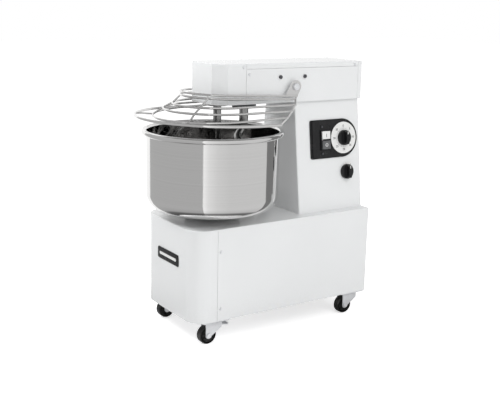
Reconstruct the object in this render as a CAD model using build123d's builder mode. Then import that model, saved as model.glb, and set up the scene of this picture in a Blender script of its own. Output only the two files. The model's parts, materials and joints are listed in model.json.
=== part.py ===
from build123d import *
from math import atan2, cos, degrees, radians, sin, sqrt, tan
import os

os.makedirs("parts", exist_ok=True)

# A floor-standing spiral dough mixer on casters, in millimetres. +Z is up, the bowl is toward -Y, the
# controls are on the +X side, and the origin is on the floor under the middle of the machine.

# Base
base_width = 280
base_length = 580
base_height = 251
base_corner = 48
floor_gap = 64
deck_thickness = 3
panel = 2
panel_seam = 70
seam_gap = 0.6
cover_gap = 0.2
side_return = 15
frame_wall = 3
frame_floor = 4
frame_flange = 15
bridge = 5
window_sill = 40
window_margin = 30
window_rib = 40
louvre_count = 6
louvre_length = 90
louvre_width = 5
badge_width = 114
badge_height = 32
badge_drop = 96.3
badge_corner = 5

# Column
column_depth = 226
column_height = 310
column_foot_width = 214
column_top_width = 138
column_edge = 4
column_wall = 2
post = 25
post_spacing = 96
frame_plate = 6

# Head
head_width = 158
head_length = 481
head_height = 106
head_cover_length = 89
head_rear_cover_depth = 13
chamfer_across = 28
chamfer_back = 32
side_bolt_rise = 69
side_bolt_front = 58
side_bolt_rear = 23
lid_depth = 14
lid_lip = 2.3
head_plate = 8
head_flange = 6
head_tongue_width = 100
head_frame_inset = 14

# Bowl
bowl_centre = 136
bowl_lift = 23
bowl_depth = 217
bowl_radius = 179
bowl_rim_radius = 192
bowl_bottom_curve = 42
bowl_wall = 1.5
bowl_shaft = 35
bowl_hub = 150
bowl_neck = 80
bowl_bolt_circle = 100
hub_thickness = 8

# Tools in the bowl
spiral_back = 97
spiral_shaft = 25
spiral_rod = 22
spiral_reach = 58
spiral_drop = 73
spiral_clearance = 24
spiral_turns = 1.3
breaker_back = 12
breaker_bar_diameter = 22
breaker_flange = 56
breaker_clearance = 14
tool_round = 3

# Wire guard
guard_centre = 142
guard_wire = 6
guard_outer_wire = 8
guard_rib_wire = 5
guard_top_radius = 94
guard_cone_radius = 170
guard_outer_radius = 214
guard_top_drop = 15
guard_shoulder_drop = 14
guard_cone_drop = 43
guard_outer_drop = 7.5
guard_cone_rings = 4
guard_rib_top_angle = 41
guard_rib_foot_angle = 34.5
guard_pivot_forward = 16
guard_pivot_rise = 43
guard_pin = 10
ear_thickness = 3
ear_length = 37
ear_tail = 6
ear_radius = 20
ear_gap = 0.5
leg_step = 28
outer_leg_forward = 131
weld = 1.5

# Drive
drive_offset = 76
drive_shaft_diameter = 25
chain_pitch = 12.7
chain_roller = 8.5
chain_plate = 10
chain_plate_thickness = 1.5
tooth_width = 7.2
bowl_teeth = 56
bowl_drive_teeth = 12
spiral_teeth = 12
spiral_drive_teeth = 20
bowl_chain_drop = 130
spiral_chain_rise = 65
large_hub = 60
medium_hub = 44
small_hub = 36
bowl_hub_reach = 14
drive_hub_reach = 12
spiral_hub_reach = 10
motor_rise = 140
motor_gap = 2.5
motor_inset = 25
motor_round = 8
gearbox_depth = 100
gearbox_wall = 45
gearbox_corner = 20
gearbox_overhang = 5

# Bearings
bowl_bearing_outer = 72
bowl_bearing_width = 17
bowl_housing_depth = 69
bowl_housing_outer = 92
bowl_housing_flange = 130
spigot_diameter = 88
spigot_rise = 2
small_bearing_outer = 52
small_bearing_width = 15
unit_height = 28
unit_outer = 66
unit_flange = 95
flange_thickness = 8
neck_length = 17
passage = 60

# Controls, measured from the machine's rear and the deck
panel_inset = 66
panel_rise = 201
panel_radius = 54.5
panel_reach = 113.5
panel_corner = 6
plate_thickness = 3
ridge_width = 17
ridge_height = 3
groove_width = 2
dial_radius = 45
dial_offset = 4.5
dial_thickness = 1
timer_diameter = 44
timer_height = 21
knob_skirt = 8
knob_grip = 10.5
knob_grip_inset = 2.6
switch_offset = -61.2
switch_drop = 3
button_width = 28
button_height = 24
button_pitch = 26.4
button_travel = 3
button_stem = 6
bezel = 2.5
bezel_rise = 4
switch_depth = 28
speed_inset = 53
speed_rise = 104
speed_diameter = 43
speed_height = 20
spindle = 6
spindle_hole = 10
spindle_reach = 8
control_size = 40
label_size = 28
label_thickness = 1
terminal_width = 26
terminal_length = 130
terminal_height = 110
terminal_corner = 4
stem_reach = 4

# Fasteners
bolt_diameter = 8
stud_diameter = 16
bolt_head = 5
screw_head = 8
screw_rise = 2.5
screw_inset = 9
base_screw_low = 35
base_screw_high = 61
rear_screw_low = 46
rear_screw_high = 69
rear_screw_pitch = 24

# Cable gland on the rear panel
gland_x = -60
gland_rise = 61
gland_reach = 20
gland_bore = 10
gland_thread = 16

# Casters
wheel_diameter = 50
wheel_width = 20
wheel_track = 230
wheel_gap = 1
caster_trail = 20
caster_front = 72
caster_inset = 42
caster_plate_length = 84
caster_plate_width = 60
caster_sheet = 3
race_diameter = 34
race_depth = 3
kingpin = 10
axle = 8
fork_sheet = 2.5
boss = 9
plate_shift = 7
crown_front = 29
crown_rear = 20
cheek_drop = 14
rivet = 2
tyre = 7
tyre_round = 3
hub_recess = 2.5
lever_pin = 4
lever_sheet = 2.5
lever_length = 24

# Fits
running_gap = 0.05
body_gap = 0.3
drum_gap = 1
edge_round = 1.5

deck_height = floor_gap + base_height
head_bottom = deck_height + column_height
head_top = head_bottom + head_height
panel_top = deck_height - deck_thickness
floor_top = floor_gap + frame_floor
bowl_floor = deck_height + bowl_lift
bowl_rim = bowl_floor + bowl_depth
guard_pivot_height = head_bottom + guard_pivot_rise
bowl_chain_height = deck_height - bowl_chain_drop
spiral_chain_height = head_bottom + spiral_chain_rise

column_front = base_length - column_depth
guard_overhang = guard_outer_radius + guard_outer_wire / 2 - guard_centre
base_front = -(base_length + gland_reach - guard_overhang) / 2
base_rear = base_front + base_length
bowl_y = base_front + bowl_centre
spiral_y = bowl_y + spiral_back
breaker_y = bowl_y + breaker_back
column_y = base_rear - column_depth / 2
drive_y = base_front + column_front + drive_offset
motor_diameter = column_depth - drive_offset - drive_shaft_diameter / 2 - motor_gap - motor_inset
motor_y = base_rear - motor_inset - motor_diameter / 2
pivot_y = base_front + column_front - guard_pivot_forward
guard_y = base_front + guard_centre
side_lean = degrees(atan2((column_foot_width - column_top_width) / 2, column_height))


def base_outline(inset, end):
    """Plan of the base with its two rounded front corners, set in all round and cut off at end."""
    near = base_front + inset
    far = base_front + end
    with BuildSketch(mode=Mode.PRIVATE) as outline:
        with Locations((0, (near + far) / 2)):
            Rectangle(base_width - 2 * inset, far - near)
        fillet(outline.vertices().group_by(Axis.Y)[0], base_corner - inset)
    return outline.sketch


def column_width(height):
    """Outside width of the tapered column at a height above the floor."""
    return column_foot_width - 2 * (height - deck_height) * tan(radians(side_lean))


panel_back = base_length - panel_inset
panel_height = deck_height + panel_rise
timer_back = panel_back + dial_offset
speed_back = base_length - speed_inset
speed_at = deck_height + speed_rise


def side_plane(back, height, out=0):
    """Plane on the column's right side: local x runs to the rear, y up the slope and z outward."""
    outward = Vector(cos(radians(side_lean)), 0, sin(radians(side_lean)))
    foot = Vector(column_width(height) / 2, base_front + back, height)
    return Plane(origin=foot + outward * out, x_dir=(0, 1, 0), z_dir=outward)


# Base: a folded frame with covers screwed to it

frame_end = base_length - 2 * panel - cover_gap
frame_inset = panel + cover_gap
window_low = floor_gap + window_sill
window_height = panel_top - frame_flange - window_low
rib_middle = column_front - 1.1 * window_rib

with BuildPart() as base_floor:
    with BuildSketch(Plane.XY.offset(floor_gap)):
        add(base_outline(frame_inset, frame_end))
    extrude(amount=frame_floor)
base_floor.part.label = "base_floor"
export_step(base_floor.part, "parts/base_floor.step")

with BuildPart() as base_frame:
    with BuildSketch(Plane.XY.offset(floor_top)):
        add(base_outline(frame_inset, frame_end))
    extrude(amount=panel_top - floor_top)
    with BuildSketch(Plane.XY.offset(floor_top)):
        add(base_outline(frame_inset + frame_wall, frame_end - frame_wall))
    extrude(amount=panel_top - floor_top - frame_wall, mode=Mode.SUBTRACT)
    with BuildSketch(Plane.XY.offset(panel_top)):
        add(base_outline(frame_inset + frame_flange, frame_end - frame_flange))
    extrude(amount=-frame_wall, mode=Mode.SUBTRACT)
    with BuildSketch(Plane.YZ.offset(-base_width / 2)):
        for start, end in (
            (panel_seam + window_margin, rib_middle - window_rib / 2),
            (rib_middle + window_rib / 2, frame_end - window_rib),
        ):
            with Locations((base_front + (start + end) / 2, window_low + window_height / 2)):
                Rectangle(end - start, window_height)
    extrude(amount=base_width, mode=Mode.SUBTRACT)
    with BuildSketch(Plane.XZ.offset(-base_rear)):
        with Locations((0, window_low + window_height / 2)):
            Rectangle(base_width - 2 * base_corner - window_margin, window_height)
    extrude(amount=base_length, mode=Mode.SUBTRACT)
    with BuildSketch(Plane.XY.offset(panel_top - bridge)):
        for start, end in (
            (bowl_centre - bowl_hub / 2, bowl_centre + bowl_hub / 2),
            (column_front - frame_wall, frame_end - frame_wall / 2),
        ):
            with Locations((0, base_front + (start + end) / 2)):
                Rectangle(base_width - 2 * frame_inset - frame_wall, end - start)
    extrude(amount=bridge)
    with BuildSketch(Plane.XY.offset(panel_top)):
        with Locations((0, bowl_y)):
            Circle(spigot_diameter / 2 + body_gap)
        with Locations((0, drive_y)):
            Circle(passage / 2)
        with Locations((0, motor_y)):
            Circle(motor_diameter / 2 + drum_gap)
    extrude(amount=-bridge, mode=Mode.SUBTRACT)
base_frame.part.label = "base_frame"
export_step(base_frame.part, "parts/base_frame.step")

with BuildPart() as front_panel:
    with BuildSketch(Plane.XY.offset(floor_gap)):
        add(base_outline(0, panel_seam - seam_gap / 2))
        add(base_outline(panel, panel_seam - seam_gap / 2), mode=Mode.SUBTRACT)
    extrude(amount=panel_top - floor_gap)
front_panel.part.label = "front_panel"
export_step(front_panel.part, "parts/front_panel.step")

side_length = base_length - panel_seam - seam_gap / 2
side_middle = base_rear - side_length / 2
for side, name in ((1, "side_panel_right"), (-1, "side_panel_left")):
    with BuildPart() as side_panel:
        with BuildSketch(Plane.XY.offset(floor_gap)):
            with Locations((side * (base_width - panel) / 2, side_middle)):
                Rectangle(panel, side_length)
            with Locations((side * (base_width - side_return) / 2, base_rear - 1.5 * panel)):
                Rectangle(side_return, panel)
        extrude(amount=panel_top - floor_gap)
    side_panel.part.label = name
    export_step(side_panel.part, f"parts/{name}.step")

gland_height = floor_gap + gland_rise
with BuildPart() as rear_panel:
    with BuildSketch(Plane.XZ.offset(-base_rear)):
        with Locations((0, (floor_gap + panel_top) / 2)):
            Rectangle(base_width - 2 * panel - 2 * cover_gap, panel_top - floor_gap)
        with Locations((0, (floor_gap + panel_top) / 2)):
            with GridLocations(0, 2.6 * louvre_width, 1, louvre_count):
                SlotOverall(louvre_length, louvre_width, mode=Mode.SUBTRACT)
        with Locations((gland_x, gland_height)):
            Circle(gland_thread / 2 + running_gap, mode=Mode.SUBTRACT)
    extrude(amount=panel)
rear_panel.part.label = "rear_panel"
export_step(rear_panel.part, "parts/rear_panel.step")

with BuildPart() as deck_plate:
    with BuildSketch(Plane.XY.offset(panel_top)):
        add(base_outline(0, base_length))
    extrude(amount=deck_thickness)
    fillet(deck_plate.faces().sort_by(Axis.Z)[-1].outer_wire().edges(), deck_thickness / 2)
    with BuildSketch(Plane.XY.offset(deck_height)):
        with Locations((0, bowl_y)):
            Circle(spigot_diameter / 2 + body_gap)
        with Locations((0, drive_y)):
            Circle(passage / 2)
        with Locations((0, motor_y)):
            Circle(motor_diameter / 2 + drum_gap)
    extrude(amount=-deck_thickness, mode=Mode.SUBTRACT)
deck_plate.part.label = "deck_plate"
export_step(deck_plate.part, "parts/deck_plate.step")

with BuildPart() as badge_plate:
    with BuildSketch(Plane((0, base_front, deck_height - badge_drop), x_dir=(1, 0, 0), z_dir=(0, -1, 0))):
        RectangleRounded(badge_width, badge_height, badge_corner)
    extrude(amount=panel)
    fillet(badge_plate.faces().sort_by(Axis.Y)[0].edges(), panel / 3)
badge_plate.part.label = "badge_plate"
export_step(badge_plate.part, "parts/badge_plate.step")

# Column: four posts between two plates, inside a tapered shell

post_x = post_spacing / 2
post_margin = 2 * column_wall + 2
post_front = column_front + post_margin + post / 2
post_rear = base_length - post_margin - post / 2
with BuildPart() as column_frame:
    plate_middle = base_front + (post_front + post_rear) / 2
    plate_length = post_rear - post_front + post
    with BuildSketch(Plane.XY.offset(deck_height)):
        with Locations((0, plate_middle)):
            Rectangle(2 * post_x + post, plate_length)
        with Locations((0, drive_y)):
            Circle(passage / 2, mode=Mode.SUBTRACT)
        with Locations((0, motor_y)):
            Circle(motor_diameter / 2 + drum_gap, mode=Mode.SUBTRACT)
    extrude(amount=frame_plate)
    with BuildSketch(Plane.XY.offset(head_bottom)):
        with Locations((0, plate_middle)):
            Rectangle(2 * post_x + post, plate_length)
        with Locations((0, drive_y)):
            Circle(passage / 2, mode=Mode.SUBTRACT)
    extrude(amount=-frame_plate)
    with BuildSketch(Plane.XY.offset(deck_height + frame_plate)):
        for back in (post_front, post_rear):
            with Locations((-post_x, base_front + back), (post_x, base_front + back)):
                Rectangle(post, post)
                Rectangle(post - 2 * frame_wall, post - 2 * frame_wall, mode=Mode.SUBTRACT)
    extrude(amount=head_bottom - deck_height - 2 * frame_plate)
column_frame.part.label = "column_frame"
export_step(column_frame.part, "parts/column_frame.step")

switch_window_width = button_width + 1
switch_window_height = button_pitch + button_height + 1
with BuildPart() as column_shell:
    for height in (deck_height, head_bottom):
        with BuildSketch(Plane.XY.offset(height)):
            with Locations((0, column_y)):
                Rectangle(column_width(height), column_depth)
    loft()
    fillet(column_shell.edges().filter_by(lambda edge: edge.bounding_box().size.Z > 1), column_edge)
    for height in (deck_height, head_bottom):
        with BuildSketch(Plane.XY.offset(height)):
            with Locations((0, column_y)):
                Rectangle(column_width(height) - 2 * column_wall, column_depth - 2 * column_wall)
    loft(mode=Mode.SUBTRACT)
    with BuildSketch(side_plane(panel_back, panel_height, -2 * column_wall)):
        with Locations((switch_offset, -switch_drop)):
            Rectangle(switch_window_width, switch_window_height)
        with Locations((dial_offset, 0)):
            Circle(spindle_hole / 2)
    extrude(amount=3 * column_wall, mode=Mode.SUBTRACT)
    with BuildSketch(side_plane(speed_back, speed_at, -2 * column_wall)):
        Circle(spindle_hole / 2)
    extrude(amount=3 * column_wall, mode=Mode.SUBTRACT)
column_shell.part.label = "column_shell"
export_step(column_shell.part, "parts/column_shell.step")

# Head: a channel on a thick plate, closed by a front cover, a lid and a rear cover

head_front = base_length - head_length
head_cover_seam = head_front + head_cover_length
cover_start = head_cover_seam + seam_gap / 2
cover_end = base_length - head_rear_cover_depth - seam_gap / 2
channel_top = head_top - lid_depth
side_bolt_height = head_bottom + side_bolt_rise
side_bolts = (
    (column_front - side_bolt_front, side_bolt_height),
    (column_front + side_bolt_rear, side_bolt_height),
)

with BuildPart() as head_housing:
    with BuildSketch(Plane.XZ.offset(-base_front - cover_start)):
        with BuildLine():
            half = head_width / 2
            Polyline(
                (0, head_bottom),
                (half, head_bottom),
                (half, channel_top - seam_gap / 2),
                (half - lid_lip, channel_top - seam_gap / 2),
                (half - lid_lip, head_top - panel - body_gap),
                (half - lid_lip - panel, head_top - panel - body_gap),
                (half - lid_lip - panel, channel_top - lid_depth),
                (half - panel, channel_top - lid_depth),
                (half - panel, head_bottom + panel),
                (0, head_bottom + panel),
            )
            mirror(about=Plane.YZ)
        make_face()
    extrude(amount=-(cover_end - cover_start))
    with BuildSketch(Plane.XY.offset(head_bottom)):
        with Locations((0, spiral_y)):
            Circle(unit_outer / 2 + body_gap)
        with Locations((0, drive_y)):
            Circle(passage / 2)
    extrude(amount=panel, mode=Mode.SUBTRACT)
    with BuildSketch(Plane.YZ.offset(-head_width / 2)):
        with Locations(*[(base_front + back, height) for back, height in side_bolts]):
            Circle(bolt_diameter / 2 + running_gap)
        with Locations((pivot_y, guard_pivot_height)):
            Circle(guard_pin / 2 + running_gap)
    extrude(amount=head_width, mode=Mode.SUBTRACT)
head_housing.part.label = "head_housing"
export_step(head_housing.part, "parts/head_housing.step")

plate_start = head_cover_seam + head_frame_inset
plate_end = base_length - head_rear_cover_depth - head_frame_inset / 2
tongue_start = head_front + head_frame_inset
flange_outer = head_width / 2 - panel - cover_gap
flange_top = channel_top - lid_depth - 2
with BuildPart() as head_frame:
    with BuildSketch(Plane.XZ.offset(-base_front - plate_start)):
        with Locations((0, head_bottom + panel + head_plate / 2)):
            Rectangle(2 * flange_outer, head_plate)
        for side in (-1, 1):
            with Locations((side * (flange_outer - head_flange / 2), (head_bottom + panel + flange_top) / 2)):
                Rectangle(head_flange, flange_top - head_bottom - panel)
    extrude(amount=-(plate_end - plate_start))
    with BuildSketch(Plane.XY.offset(head_bottom + panel)):
        with Locations((0, base_front + (tongue_start + plate_start) / 2)):
            Rectangle(head_tongue_width, plate_start - tongue_start)
    extrude(amount=head_plate)
    with BuildSketch(Plane.XY.offset(head_bottom + panel)):
        with Locations((0, spiral_y)):
            Circle(unit_outer / 2 + running_gap)
        with Locations((0, drive_y)):
            Circle(passage / 2)
        with Locations((0, breaker_y)):
            Circle(stud_diameter / 2 + running_gap)
    extrude(amount=head_plate, mode=Mode.SUBTRACT)
    with BuildSketch(Plane.YZ.offset(-head_width / 2)):
        with Locations(*[(base_front + back, height) for back, height in side_bolts]):
            Circle(bolt_diameter / 2 + running_gap)
        with Locations((pivot_y, guard_pivot_height)):
            Circle(guard_pin / 2 + running_gap)
    extrude(amount=head_width, mode=Mode.SUBTRACT)
head_frame.part.label = "head_frame"
export_step(head_frame.part, "parts/head_frame.step")


def head_nose(inset, end):
    """Plan of the head's front cover with its two bevelled corners, set in from the front and sides."""
    side = head_width / 2 - inset
    front = base_front + head_front + inset
    shoulder = front + chamfer_back - inset / 3
    flat = head_width / 2 - chamfer_across - inset / 2
    with BuildSketch(mode=Mode.PRIVATE) as outline:
        with BuildLine():
            Polyline(
                (0, front), (flat, front), (side, shoulder), (side, base_front + end), (0, base_front + end)
            )
            mirror(about=Plane.YZ)
        make_face()
    return outline.sketch


cover_back = head_cover_seam - seam_gap / 2
with BuildPart() as head_front_cover:
    with BuildSketch(Plane.XY.offset(head_bottom)):
        add(head_nose(0, cover_back))
    extrude(amount=head_height)
    fillet(head_front_cover.faces().sort_by(Axis.Z)[-1].edges().sort_by(Axis.Y)[:-1], edge_round)
    with BuildSketch(Plane.XY.offset(head_bottom + panel)):
        add(head_nose(panel, cover_back))
    extrude(amount=head_height - 2 * panel, mode=Mode.SUBTRACT)
    with BuildSketch(Plane.XY.offset(head_bottom)):
        with Locations((0, breaker_y)):
            Circle(stud_diameter / 2 + body_gap)
    extrude(amount=panel, mode=Mode.SUBTRACT)
head_front_cover.part.label = "head_front_cover"
export_step(head_front_cover.part, "parts/head_front_cover.step")

with BuildPart() as head_lid:
    lid_middle = base_front + (cover_start + cover_end) / 2
    lid_length = cover_end - cover_start
    with BuildSketch(Plane.XY.offset(channel_top + seam_gap / 2)):
        with Locations((0, lid_middle)):
            Rectangle(head_width, lid_length)
    extrude(amount=lid_depth - seam_gap / 2)
    fillet(head_lid.faces().sort_by(Axis.Z)[-1].edges().filter_by(Axis.Y), edge_round)
    with BuildSketch(Plane.XY.offset(channel_top + seam_gap / 2)):
        with Locations((0, lid_middle)):
            Rectangle(head_width - 2 * panel, lid_length)
    extrude(amount=lid_depth - seam_gap / 2 - panel, mode=Mode.SUBTRACT)
head_lid.part.label = "head_lid"
export_step(head_lid.part, "parts/head_lid.step")

with BuildPart() as head_rear_cover:
    with BuildSketch(Plane.XZ.offset(-base_rear)):
        with Locations((0, (head_bottom + head_top) / 2)):
            Rectangle(head_width, head_height)
    extrude(amount=head_rear_cover_depth - seam_gap / 2)
    fillet(head_rear_cover.edges().filter_by(Axis.Y), edge_round)
    with BuildSketch(Plane.XZ.offset(-base_rear + panel)):
        with Locations((0, (head_bottom + head_top) / 2)):
            Rectangle(head_width - 2 * panel, head_height - 2 * panel)
    extrude(amount=head_rear_cover_depth, mode=Mode.SUBTRACT)
head_rear_cover.part.label = "head_rear_cover"
export_step(head_rear_cover.part, "parts/head_rear_cover.step")

# Controls on the column's right side

plate_height = 2 * panel_radius
knob_lift = plate_thickness + dial_thickness + body_gap
with BuildPart() as control_plate:
    with BuildSketch(side_plane(panel_back, panel_height)) as plate_outline:
        Circle(panel_radius)
        with Locations((-panel_reach / 2, 0)):
            Rectangle(panel_reach, plate_height)
        fillet(plate_outline.vertices().group_by(Axis.X)[0], panel_corner)
        with Locations((switch_offset, -switch_drop)):
            Rectangle(switch_window_width, switch_window_height, mode=Mode.SUBTRACT)
        with Locations((dial_offset, 0)):
            Circle(spindle_hole / 2, mode=Mode.SUBTRACT)
    extrude(amount=plate_thickness)
    with BuildSketch(side_plane(panel_back, panel_height, plate_thickness)):
        with Locations((ridge_width / 2 + panel_corner / 2 - panel_reach, 0)):
            RectangleRounded(ridge_width - panel_corner, plate_height - panel_corner, panel_corner / 2)
    extrude(amount=ridge_height)
    with BuildSketch(side_plane(panel_back, panel_height, plate_thickness)):
        with Locations((switch_offset + button_width / 2 + 2 * groove_width, 0)):
            Rectangle(groove_width, plate_height - 2 * ridge_width)
    extrude(amount=-1, mode=Mode.SUBTRACT)
control_plate.part.label = "control_plate"
export_step(control_plate.part, "parts/control_plate.step")

with BuildPart() as dial_ring:
    with BuildSketch(side_plane(panel_back, panel_height, plate_thickness)):
        with Locations((dial_offset, 0)):
            Circle(dial_radius)
            Circle(spindle_hole / 2, mode=Mode.SUBTRACT)
    extrude(amount=dial_thickness)
dial_ring.part.label = "dial_ring"
export_step(dial_ring.part, "parts/dial_ring.step")

with BuildPart() as switch_frame:
    with BuildSketch(side_plane(panel_back, panel_height, plate_thickness)):
        with Locations((switch_offset, -switch_drop)):
            Rectangle(switch_window_width + 2 * bezel, switch_window_height + 2 * bezel)
            Rectangle(switch_window_width, switch_window_height, mode=Mode.SUBTRACT)
    extrude(amount=bezel_rise)
switch_frame.part.label = "switch_frame"
export_step(switch_frame.part, "parts/switch_frame.step")

button_rise = bezel_rise + button_travel
inner_skin = -column_wall
for row, name in ((1, "start_button"), (-1, "stop_button")):
    with BuildPart() as button:
        with BuildSketch(side_plane(panel_back, panel_height, plate_thickness)):
            with Locations((switch_offset, -switch_drop + row * button_pitch / 2)):
                Rectangle(button_width, button_height)
        extrude(amount=button_rise)
        fillet(button.faces().sort_by(Axis.X)[-1].edges(), edge_round)
        with BuildSketch(side_plane(panel_back, panel_height, plate_thickness)):
            with Locations((switch_offset, -switch_drop + row * button_pitch / 2)):
                Circle(button_stem / 2)
        extrude(amount=-(plate_thickness + column_wall + stem_reach))
    button.part.label = name
    export_step(button.part, f"parts/{name}.step")

with BuildPart() as switch_body:
    with BuildSketch(side_plane(panel_back, panel_height, inner_skin - body_gap)):
        with Locations((switch_offset, -switch_drop)):
            Rectangle(switch_window_width + 2 * bezel, switch_window_height + 2 * bezel)
    extrude(amount=-switch_depth)
    with BuildSketch(side_plane(panel_back, panel_height, inner_skin - body_gap)):
        with Locations((switch_offset, -switch_drop)):
            with GridLocations(0, button_pitch, 1, 2):
                Circle(button_stem / 2 + running_gap)
    extrude(amount=-(2 * stem_reach + button_travel), mode=Mode.SUBTRACT)
switch_body.part.label = "switch_body"
export_step(switch_body.part, "parts/switch_body.step")


def turning_knob(place, diameter, height, shaft_reach):
    """Round knob with a skirt, a raised grip bar across its top and a spindle into the column."""
    with BuildPart() as knob:
        with BuildSketch(place):
            Circle(diameter / 2)
        extrude(amount=knob_skirt, taper=4)
        with BuildSketch(place.offset(knob_skirt - 1)):
            SlotOverall(diameter - 2 * knob_grip_inset, knob_grip, rotation=90)
        extrude(amount=height - knob_skirt + 1, taper=3)
        with BuildSketch(place):
            Circle(spindle / 2)
        extrude(amount=-shaft_reach)
    return knob


timer_knob = turning_knob(
    side_plane(timer_back, panel_height, knob_lift),
    timer_diameter,
    timer_height,
    knob_lift + column_wall + spindle_reach,
)
timer_knob.part.label = "timer_knob"
export_step(timer_knob.part, "parts/timer_knob.step")

speed_knob = turning_knob(
    side_plane(speed_back, speed_at, label_thickness + body_gap),
    speed_diameter,
    speed_height,
    label_thickness + body_gap + column_wall + spindle_reach,
)
speed_knob.part.label = "speed_knob"
export_step(speed_knob.part, "parts/speed_knob.step")

for back, height, name in (
    (timer_back, panel_height, "timer_body"),
    (speed_back, speed_at, "selector_body"),
):
    with BuildPart() as control_body:
        with BuildSketch(side_plane(back, height, inner_skin - cover_gap)):
            Rectangle(control_size, control_size)
        extrude(amount=-switch_depth)
        with BuildSketch(side_plane(back, height, inner_skin - cover_gap)):
            Circle(spindle / 2 + running_gap)
        extrude(amount=-1.25 * spindle_reach, mode=Mode.SUBTRACT)
    control_body.part.label = name
    export_step(control_body.part, f"parts/{name}.step")

with BuildPart() as speed_label:
    with BuildSketch(side_plane(speed_back + label_size / 4, speed_at + 0.43 * label_size)):
        Rectangle(label_size, label_size)
    extrude(amount=label_thickness)
    with BuildSketch(side_plane(speed_back, speed_at, -label_thickness)):
        Circle(spindle_hole / 2)
    extrude(amount=3 * label_thickness, mode=Mode.SUBTRACT)
speed_label.part.label = "speed_label"
export_step(speed_label.part, "parts/speed_label.step")

terminal_x = -post_x - (post + terminal_width) / 2 - seam_gap
with BuildPart() as terminal_box:
    with BuildSketch(Plane.XY.offset(deck_height)):
        with Locations((terminal_x, column_y)):
            RectangleRounded(terminal_width, terminal_length, terminal_corner)
    extrude(amount=terminal_height)
terminal_box.part.label = "terminal_box"
export_step(terminal_box.part, "parts/terminal_box.step")

# Bowl and what turns it

spigot_top = deck_height + spigot_rise
bowl_spindle_low = bowl_chain_height - 1.4 * bowl_hub_reach

with BuildPart() as bowl:
    with BuildSketch(Plane.XZ.offset(-bowl_y)):
        bead = (bowl_rim_radius - bowl_radius + bowl_wall) / 2
        with BuildLine():
            outer_curve = bowl_bottom_curve
            inner_curve = bowl_bottom_curve - bowl_wall
            inner = bowl_radius - bowl_wall
            low = bowl_floor + bowl_wall
            Line((0, bowl_floor), (bowl_radius - outer_curve, bowl_floor))
            RadiusArc(
                (bowl_radius - outer_curve, bowl_floor), (bowl_radius, bowl_floor + outer_curve), -outer_curve
            )
            Line((bowl_radius, bowl_floor + outer_curve), (bowl_radius, bowl_rim - bead))
            Line((bowl_radius, bowl_rim - bead), (inner, bowl_rim - bead))
            Line((inner, bowl_rim - bead), (inner, low + inner_curve))
            RadiusArc((inner, low + inner_curve), (inner - inner_curve, low), inner_curve)
            Line((inner - inner_curve, low), (0, low))
            Line((0, low), (0, bowl_floor))
        make_face()
        with Locations((bowl_rim_radius - bead, bowl_rim - bead)):
            Circle(bead)
    revolve(axis=Axis((0, bowl_y, 0), (0, 0, 1)))
bowl.part.label = "bowl"
export_step(bowl.part, "parts/bowl.step")

with BuildPart() as bowl_spindle:
    with BuildSketch(Plane.XZ.offset(-bowl_y)):
        with BuildLine():
            Polyline(
                (0, bowl_floor),
                (bowl_hub / 2, bowl_floor),
                (bowl_hub / 2, bowl_floor - hub_thickness),
                (bowl_neck / 2, bowl_floor - hub_thickness),
                (bowl_neck / 2, spigot_top + spigot_rise / 2),
                (bowl_shaft / 2, spigot_top + spigot_rise / 2),
                (bowl_shaft / 2, bowl_spindle_low),
                (0, bowl_spindle_low),
                (0, bowl_floor),
            )
        make_face()
    revolve(axis=Axis((0, bowl_y, 0), (0, 0, 1)))
    with BuildSketch(Plane.XY.offset(bowl_floor)):
        with Locations((0, bowl_y)):
            with PolarLocations(bowl_bolt_circle / 2, 4):
                Circle(bolt_diameter / 2 + running_gap)
    extrude(amount=-hub_thickness, mode=Mode.SUBTRACT)
bowl_spindle.part.label = "bowl_spindle"
export_step(bowl_spindle.part, "parts/bowl_spindle.step")

with BuildPart() as bowl_bolts:
    with BuildSketch(Plane.XY.offset(bowl_floor)):
        with Locations((0, bowl_y)):
            with PolarLocations(bowl_bolt_circle / 2, 4):
                Circle(bolt_diameter / 2)
    extrude(amount=-hub_thickness)
    with BuildSketch(Plane.XY.offset(bowl_floor - hub_thickness)):
        with Locations((0, bowl_y)):
            with PolarLocations(bowl_bolt_circle / 2, 4):
                RegularPolygon(bolt_diameter * 0.75, 6)
    extrude(amount=-0.6 * bolt_diameter)
bowl_bolts.part.label = "bowl_bolts"
export_step(bowl_bolts.part, "parts/bowl_bolts.step")

bowl_housing_low = panel_top - bridge - bowl_housing_depth
with BuildPart() as bowl_bearing_housing:
    with BuildSketch(Plane.XY.offset(bowl_housing_low)):
        with Locations((0, bowl_y)):
            Circle(bowl_housing_outer / 2)
    extrude(amount=panel_top - bridge - bowl_housing_low)
    with BuildSketch(Plane.XY.offset(panel_top - bridge)):
        with Locations((0, bowl_y)):
            Circle(bowl_housing_flange / 2)
    extrude(amount=-flange_thickness)
    with BuildSketch(Plane.XY.offset(panel_top - bridge)):
        with Locations((0, bowl_y)):
            Circle(spigot_diameter / 2)
    extrude(amount=spigot_top - panel_top + bridge)
    with BuildSketch(Plane.XY.offset(bowl_housing_low)):
        with Locations((0, bowl_y)):
            Circle(bowl_bearing_outer / 2 + running_gap)
    extrude(amount=spigot_top - bowl_housing_low, mode=Mode.SUBTRACT)
bowl_bearing_housing.part.label = "bowl_bearing_housing"
export_step(bowl_bearing_housing.part, "parts/bowl_bearing_housing.step")

# Bearing housings of the vertical drive shaft: one on the base's floor, one on the head's plate

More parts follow.
